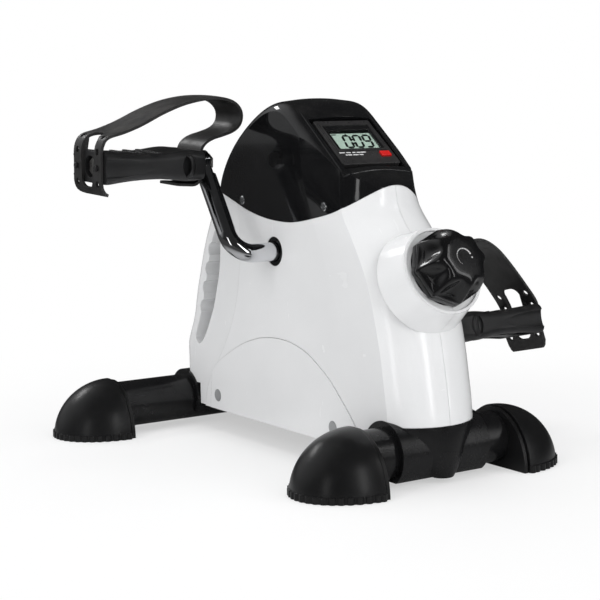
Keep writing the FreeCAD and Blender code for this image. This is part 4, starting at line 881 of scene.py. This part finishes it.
def digit_bar(digit_x, bar_x, bar_down, lies_across):
    """Pointed bar of a leaning digit."""
    half = (DIGIT_W if lies_across else DIGIT_H / 2) / 2 - BAR_GAP
    t = BAR_W / 2
    if lies_across:
        shape = [(-half, 0), (-half + t, -t), (half - t, -t), (half, 0), (half - t, t),
                 (-half + t, t)]
    else:
        shape = [(0, -half), (t, -half + t), (t, half - t), (0, half), (-t, half - t),
                 (-t, -half + t)]
    outline = []
    for x, y in shape:
        down = bar_down + y
        outline.append((digit_x * MM + (bar_x + x - down * LEAN) * MM, DIGITS_MID + down * MM))
    return outline


def lcd_digits():
    ink = SlopePrint(LCD_PRINT_LEVEL, height_mm=0.06)
    for lit, digit_x in DIGITS:
        for segment in lit:
            ink.prism(digit_bar(digit_x, *SEGMENTS[segment]))
    # colon
    for down in (-2.6, 2.6):
        left, right = [x * MM - 1.2 * MM - down * LEAN * MM for x in (-0.65, 0.65)]
        ink.rect(left, right, DIGITS_MID + (down - 0.8) * MM, DIGITS_MID + (down + 0.8) * MM)
    # small bars above the digits: (x, width)
    for x, width in ((-16.0, 4.6), (-4.0, 1.4)):
        ink.dash(x, width, DIGITS_MID - 9.6 * MM, DIGITS_MID - 8.4 * MM)
    ink.build("lcd_digits", "lcd_ink")


def lcd_shade_band():
    """Dark band along the upper edge and the -X edge of the display glass: the black inner bezel
    over it and the painted shade under that bezel.
    """
    # painted shade: a black sheet laid on the glass where the bezel overhangs and shades it
    shade_band = SlopePrint(LCD_PRINT_LEVEL, height_mm=0.04)
    (x0, x1), (top, bottom) = LCD_X, LCD_SPAN
    split = DIGITS_MID - 10.4 * MM
    # a strip with no room on the glass is left out
    for left, right, start, end in ((x0, x1, top, split), (x0, x0 + 2.2 * MM, split, bottom)):
        if right > left and end > start:
            shade_band.rect(left, right, start, end)
    if shade_band.faces:
        shade_band.build("lcd_shade_band", "lcd_ink")


# plain dashes below the window, one tuple per row: (x, width) in mm
TICK_ROWS = (
    ((-22.04, 5.28), (-15.776, 4.32), (-10.44, 3.12), (-5.8, 3.84), (-0.928, 4.8)),
    ((-19.256, 1.92), (-15.776, 3.84), (-9.976, 5.52), (-4.408, 3.84)),
)
TICK_PITCH, TICK_H = 2.9, 1.15


def panel_ticks():
    ticks = SlopePrint(HOUSING_PRINT_LEVEL, height_mm=0.05)
    start = WINDOW_SPAN[1] + 4.6 * MM
    for row, dashes in enumerate(TICK_ROWS):
        top = start + row * TICK_PITCH * MM
        bottom = start + (row * TICK_PITCH + TICK_H) * MM
        for x, width in dashes:
            ticks.dash(x, width, top, bottom)
    ticks.build("panel_ticks", "white_print")


def window_surround():
    """Glossy black border round the window."""
    border = SlopePrint(HOUSING_PRINT_LEVEL, height_mm=0.04)
    side, gap = 2.7 * MM, 0.15 * MM
    (x0, x1), (top, bottom) = WINDOW_X, WINDOW_SPAN
    border.rect(x0 - side, x1 + side, top - 5.7 * MM, top - gap)
    border.rect(x0 - side, x1 + side, bottom + gap, bottom + 1.2 * MM)
    border.rect(x0 - side, x0 - gap, top - gap, bottom + gap)
    border.rect(x1 + gap, x1 + side, top - gap, bottom + gap)
    border.build("window_surround", "black_gloss_abs")


console_bead()
lcd_digits()
lcd_shade_band()
panel_ticks()
window_surround()


# ------------------------------------------------------------------ floor
FLOOR_CELLS = 24
FLOOR_HALF = 12.0
FLOOR_DROP = 0.0002      # below the lowest point of the machine


def floor_material():
    material = bpy.data.materials.new("floor")
    g = Graph(material)
    matt = g.principled({
        "Base Color": g.mix(g.ramp(g.noise(scale=3.0, detail=4.0), span=(0.3, 0.7)),
                            (0.92, 0.92, 0.92), (0.95, 0.95, 0.95)),
        "Roughness": 0.75,
        "Specular IOR Level": 0.1})
    distance = g.add("ShaderNodeVectorMath", {0: g.coords["Object"]},
                     operation="LENGTH").outputs["Value"]
    ray = g.add("ShaderNodeLightPath").outputs
    # seen by the camera, the floor fades into the white backdrop away from the machine
    fade = g.ramp(distance, span=(0.16, 0.62), smooth=True)
    seen = g.math("MULTIPLY", g.ramp(fade, span=(0.0, 1.0), to=(0.5, 1.0)),
                  ray["Is Camera Ray"])
    shader = g.mix_shader(seen, matt, g.emission(strength=1.0))
    # in reflections it falls off to a dark surround, which keeps the black parts black
    fade = g.ramp(distance, span=(0.12, 0.5), smooth=True)
    mirrored = g.math("MULTIPLY", g.ramp(fade, span=(0.0, 1.0), to=(0.45, 1.0)),
                      ray["Is Glossy Ray"])
    g.finish(g.mix_shader(mirrored, shader, g.emission(strength=0.06)))
    return material


def make_floor():
    material = floor_material()
    ticks = [-FLOOR_HALF + 2 * FLOOR_HALF * i / FLOOR_CELLS for i in range(FLOOR_CELLS + 1)]
    verts = [(x, y, SIZE0[0].z - FLOOR_DROP) for x in ticks for y in ticks]
    row = FLOOR_CELLS + 1
    corners = [i * row + j for i in range(FLOOR_CELLS) for j in range(FLOOR_CELLS)]
    faces = [(a, a + row, a + row + 1, a + 1) for a in corners]
    make_object("floor", verts, faces, material)


make_floor()


# ------------------------------------------------------------------ world and lights
def make_world():
    world = bpy.data.worlds.new("studio")
    scene.world = world
    g = Graph(world, "ShaderNodeOutputWorld")

    def sky(toward, span, to):
        """Background that brightens toward a direction."""
        facing = g.add("ShaderNodeVectorMath", {
            0: g.coords["Generated"], 1: Vector(toward).normalized(),
        }, operation="DOT_PRODUCT").outputs["Value"]
        strength = g.ramp(facing, span=span, to=to, smooth=True)
        return g.add("ShaderNodeBackground", {0: (0.985, 0.99, 1.0, 1), 1: strength}).outputs[0]

    ambient = sky(toward=(-0.35, -0.2, 0.9), span=(-0.4, 0.9), to=(0.38, 0.62))
    reflected = sky(toward=(-0.5, 0.62, 0.6), span=(0.62, 0.99), to=(0.025, 0.6))
    backdrop = g.add("ShaderNodeBackground", {0: (1, 1, 1, 1), 1: 1.0}).outputs[0]
    ray = g.add("ShaderNodeLightPath").outputs
    lighting = g.mix_shader(ray["Is Glossy Ray"], ambient, reflected)
    g.finish(g.mix_shader(ray["Is Camera Ray"], lighting, backdrop))


make_world()

# name, place, width, height, watts, shows in reflections
AREA_LIGHTS = (
    ("top_box", (0.0, 0.25, 1.9), 1.2, 1.2, 10, False),
    ("key_left", (-2.1, -0.5, 1.1), 0.9, 1.5, 13, False),
    ("strip_front", (0.05, -2.1, 0.7), 0.3, 1.7, 6.5, True),
    ("strip_right", (1.25, -1.6, 0.7), 0.16, 1.7, 3.5, True),
    ("strip_left", (-1.9, -1.15, 0.55), 0.3, 1.3, 2.6, True),
    ("fill_right", (1.1, -1.9, 0.9), 0.8, 0.8, 6, False),
    ("rim_back", (-0.5, 1.7, 1.5), 0.7, 0.3, 6, True),
)
middle = (SIZE0[0] + SIZE0[1]) / 2
for name, place, width, height, watts, mirrored in AREA_LIGHTS:
    light = bpy.data.lights.new(name, "AREA")
    light.shape = "RECTANGLE"
    light.size = width
    light.size_y = height
    light.energy = watts
    lamp = bpy.data.objects.new(name, light)
    lamp.location = place
    lamp.rotation_mode = "QUATERNION"
    lamp.rotation_quaternion = (middle - Vector(place)).to_track_quat("-Z", "Y")
    scene.collection.objects.link(lamp)
    lamp.visible_glossy = mirrored

# ------------------------------------------------------------------ camera
CAMERA_PLACE = (-0.7288, -1.0710, 0.2864)
HEADING = math.radians(33.47)        # from +Y toward +X
DIP = math.radians(7.06)             # below the horizon
ROLL = math.radians(-1.01)


def make_camera():
    data = bpy.data.cameras.new("camera")
    camera = bpy.data.objects.new("camera", data)
    scene.collection.objects.link(camera)
    forward = Vector((math.sin(HEADING) * math.cos(DIP), math.cos(HEADING) * math.cos(DIP),
                      -math.sin(DIP)))
    right = Vector((math.cos(HEADING), -math.sin(HEADING), 0.0))
    up = right.cross(forward)
    rolled_right = right * math.cos(ROLL) + up * math.sin(ROLL)
    rolled_up = -right * math.sin(ROLL) + up * math.cos(ROLL)
    rotation = Matrix((rolled_right, rolled_up, -forward)).transposed().to_4x4()
    camera.matrix_world = Matrix.Translation(Vector(CAMERA_PLACE)) @ rotation
    data.sensor_width = 36.0
    data.lens = 90.56
    data.shift_x = 0.00195
    data.shift_y = 0.00283
    data.clip_start = 0.05
    data.clip_end = 60.0
    scene.camera = camera


make_camera()
scene.view_settings.view_transform = "Standard"
scene.view_settings.look = "None"
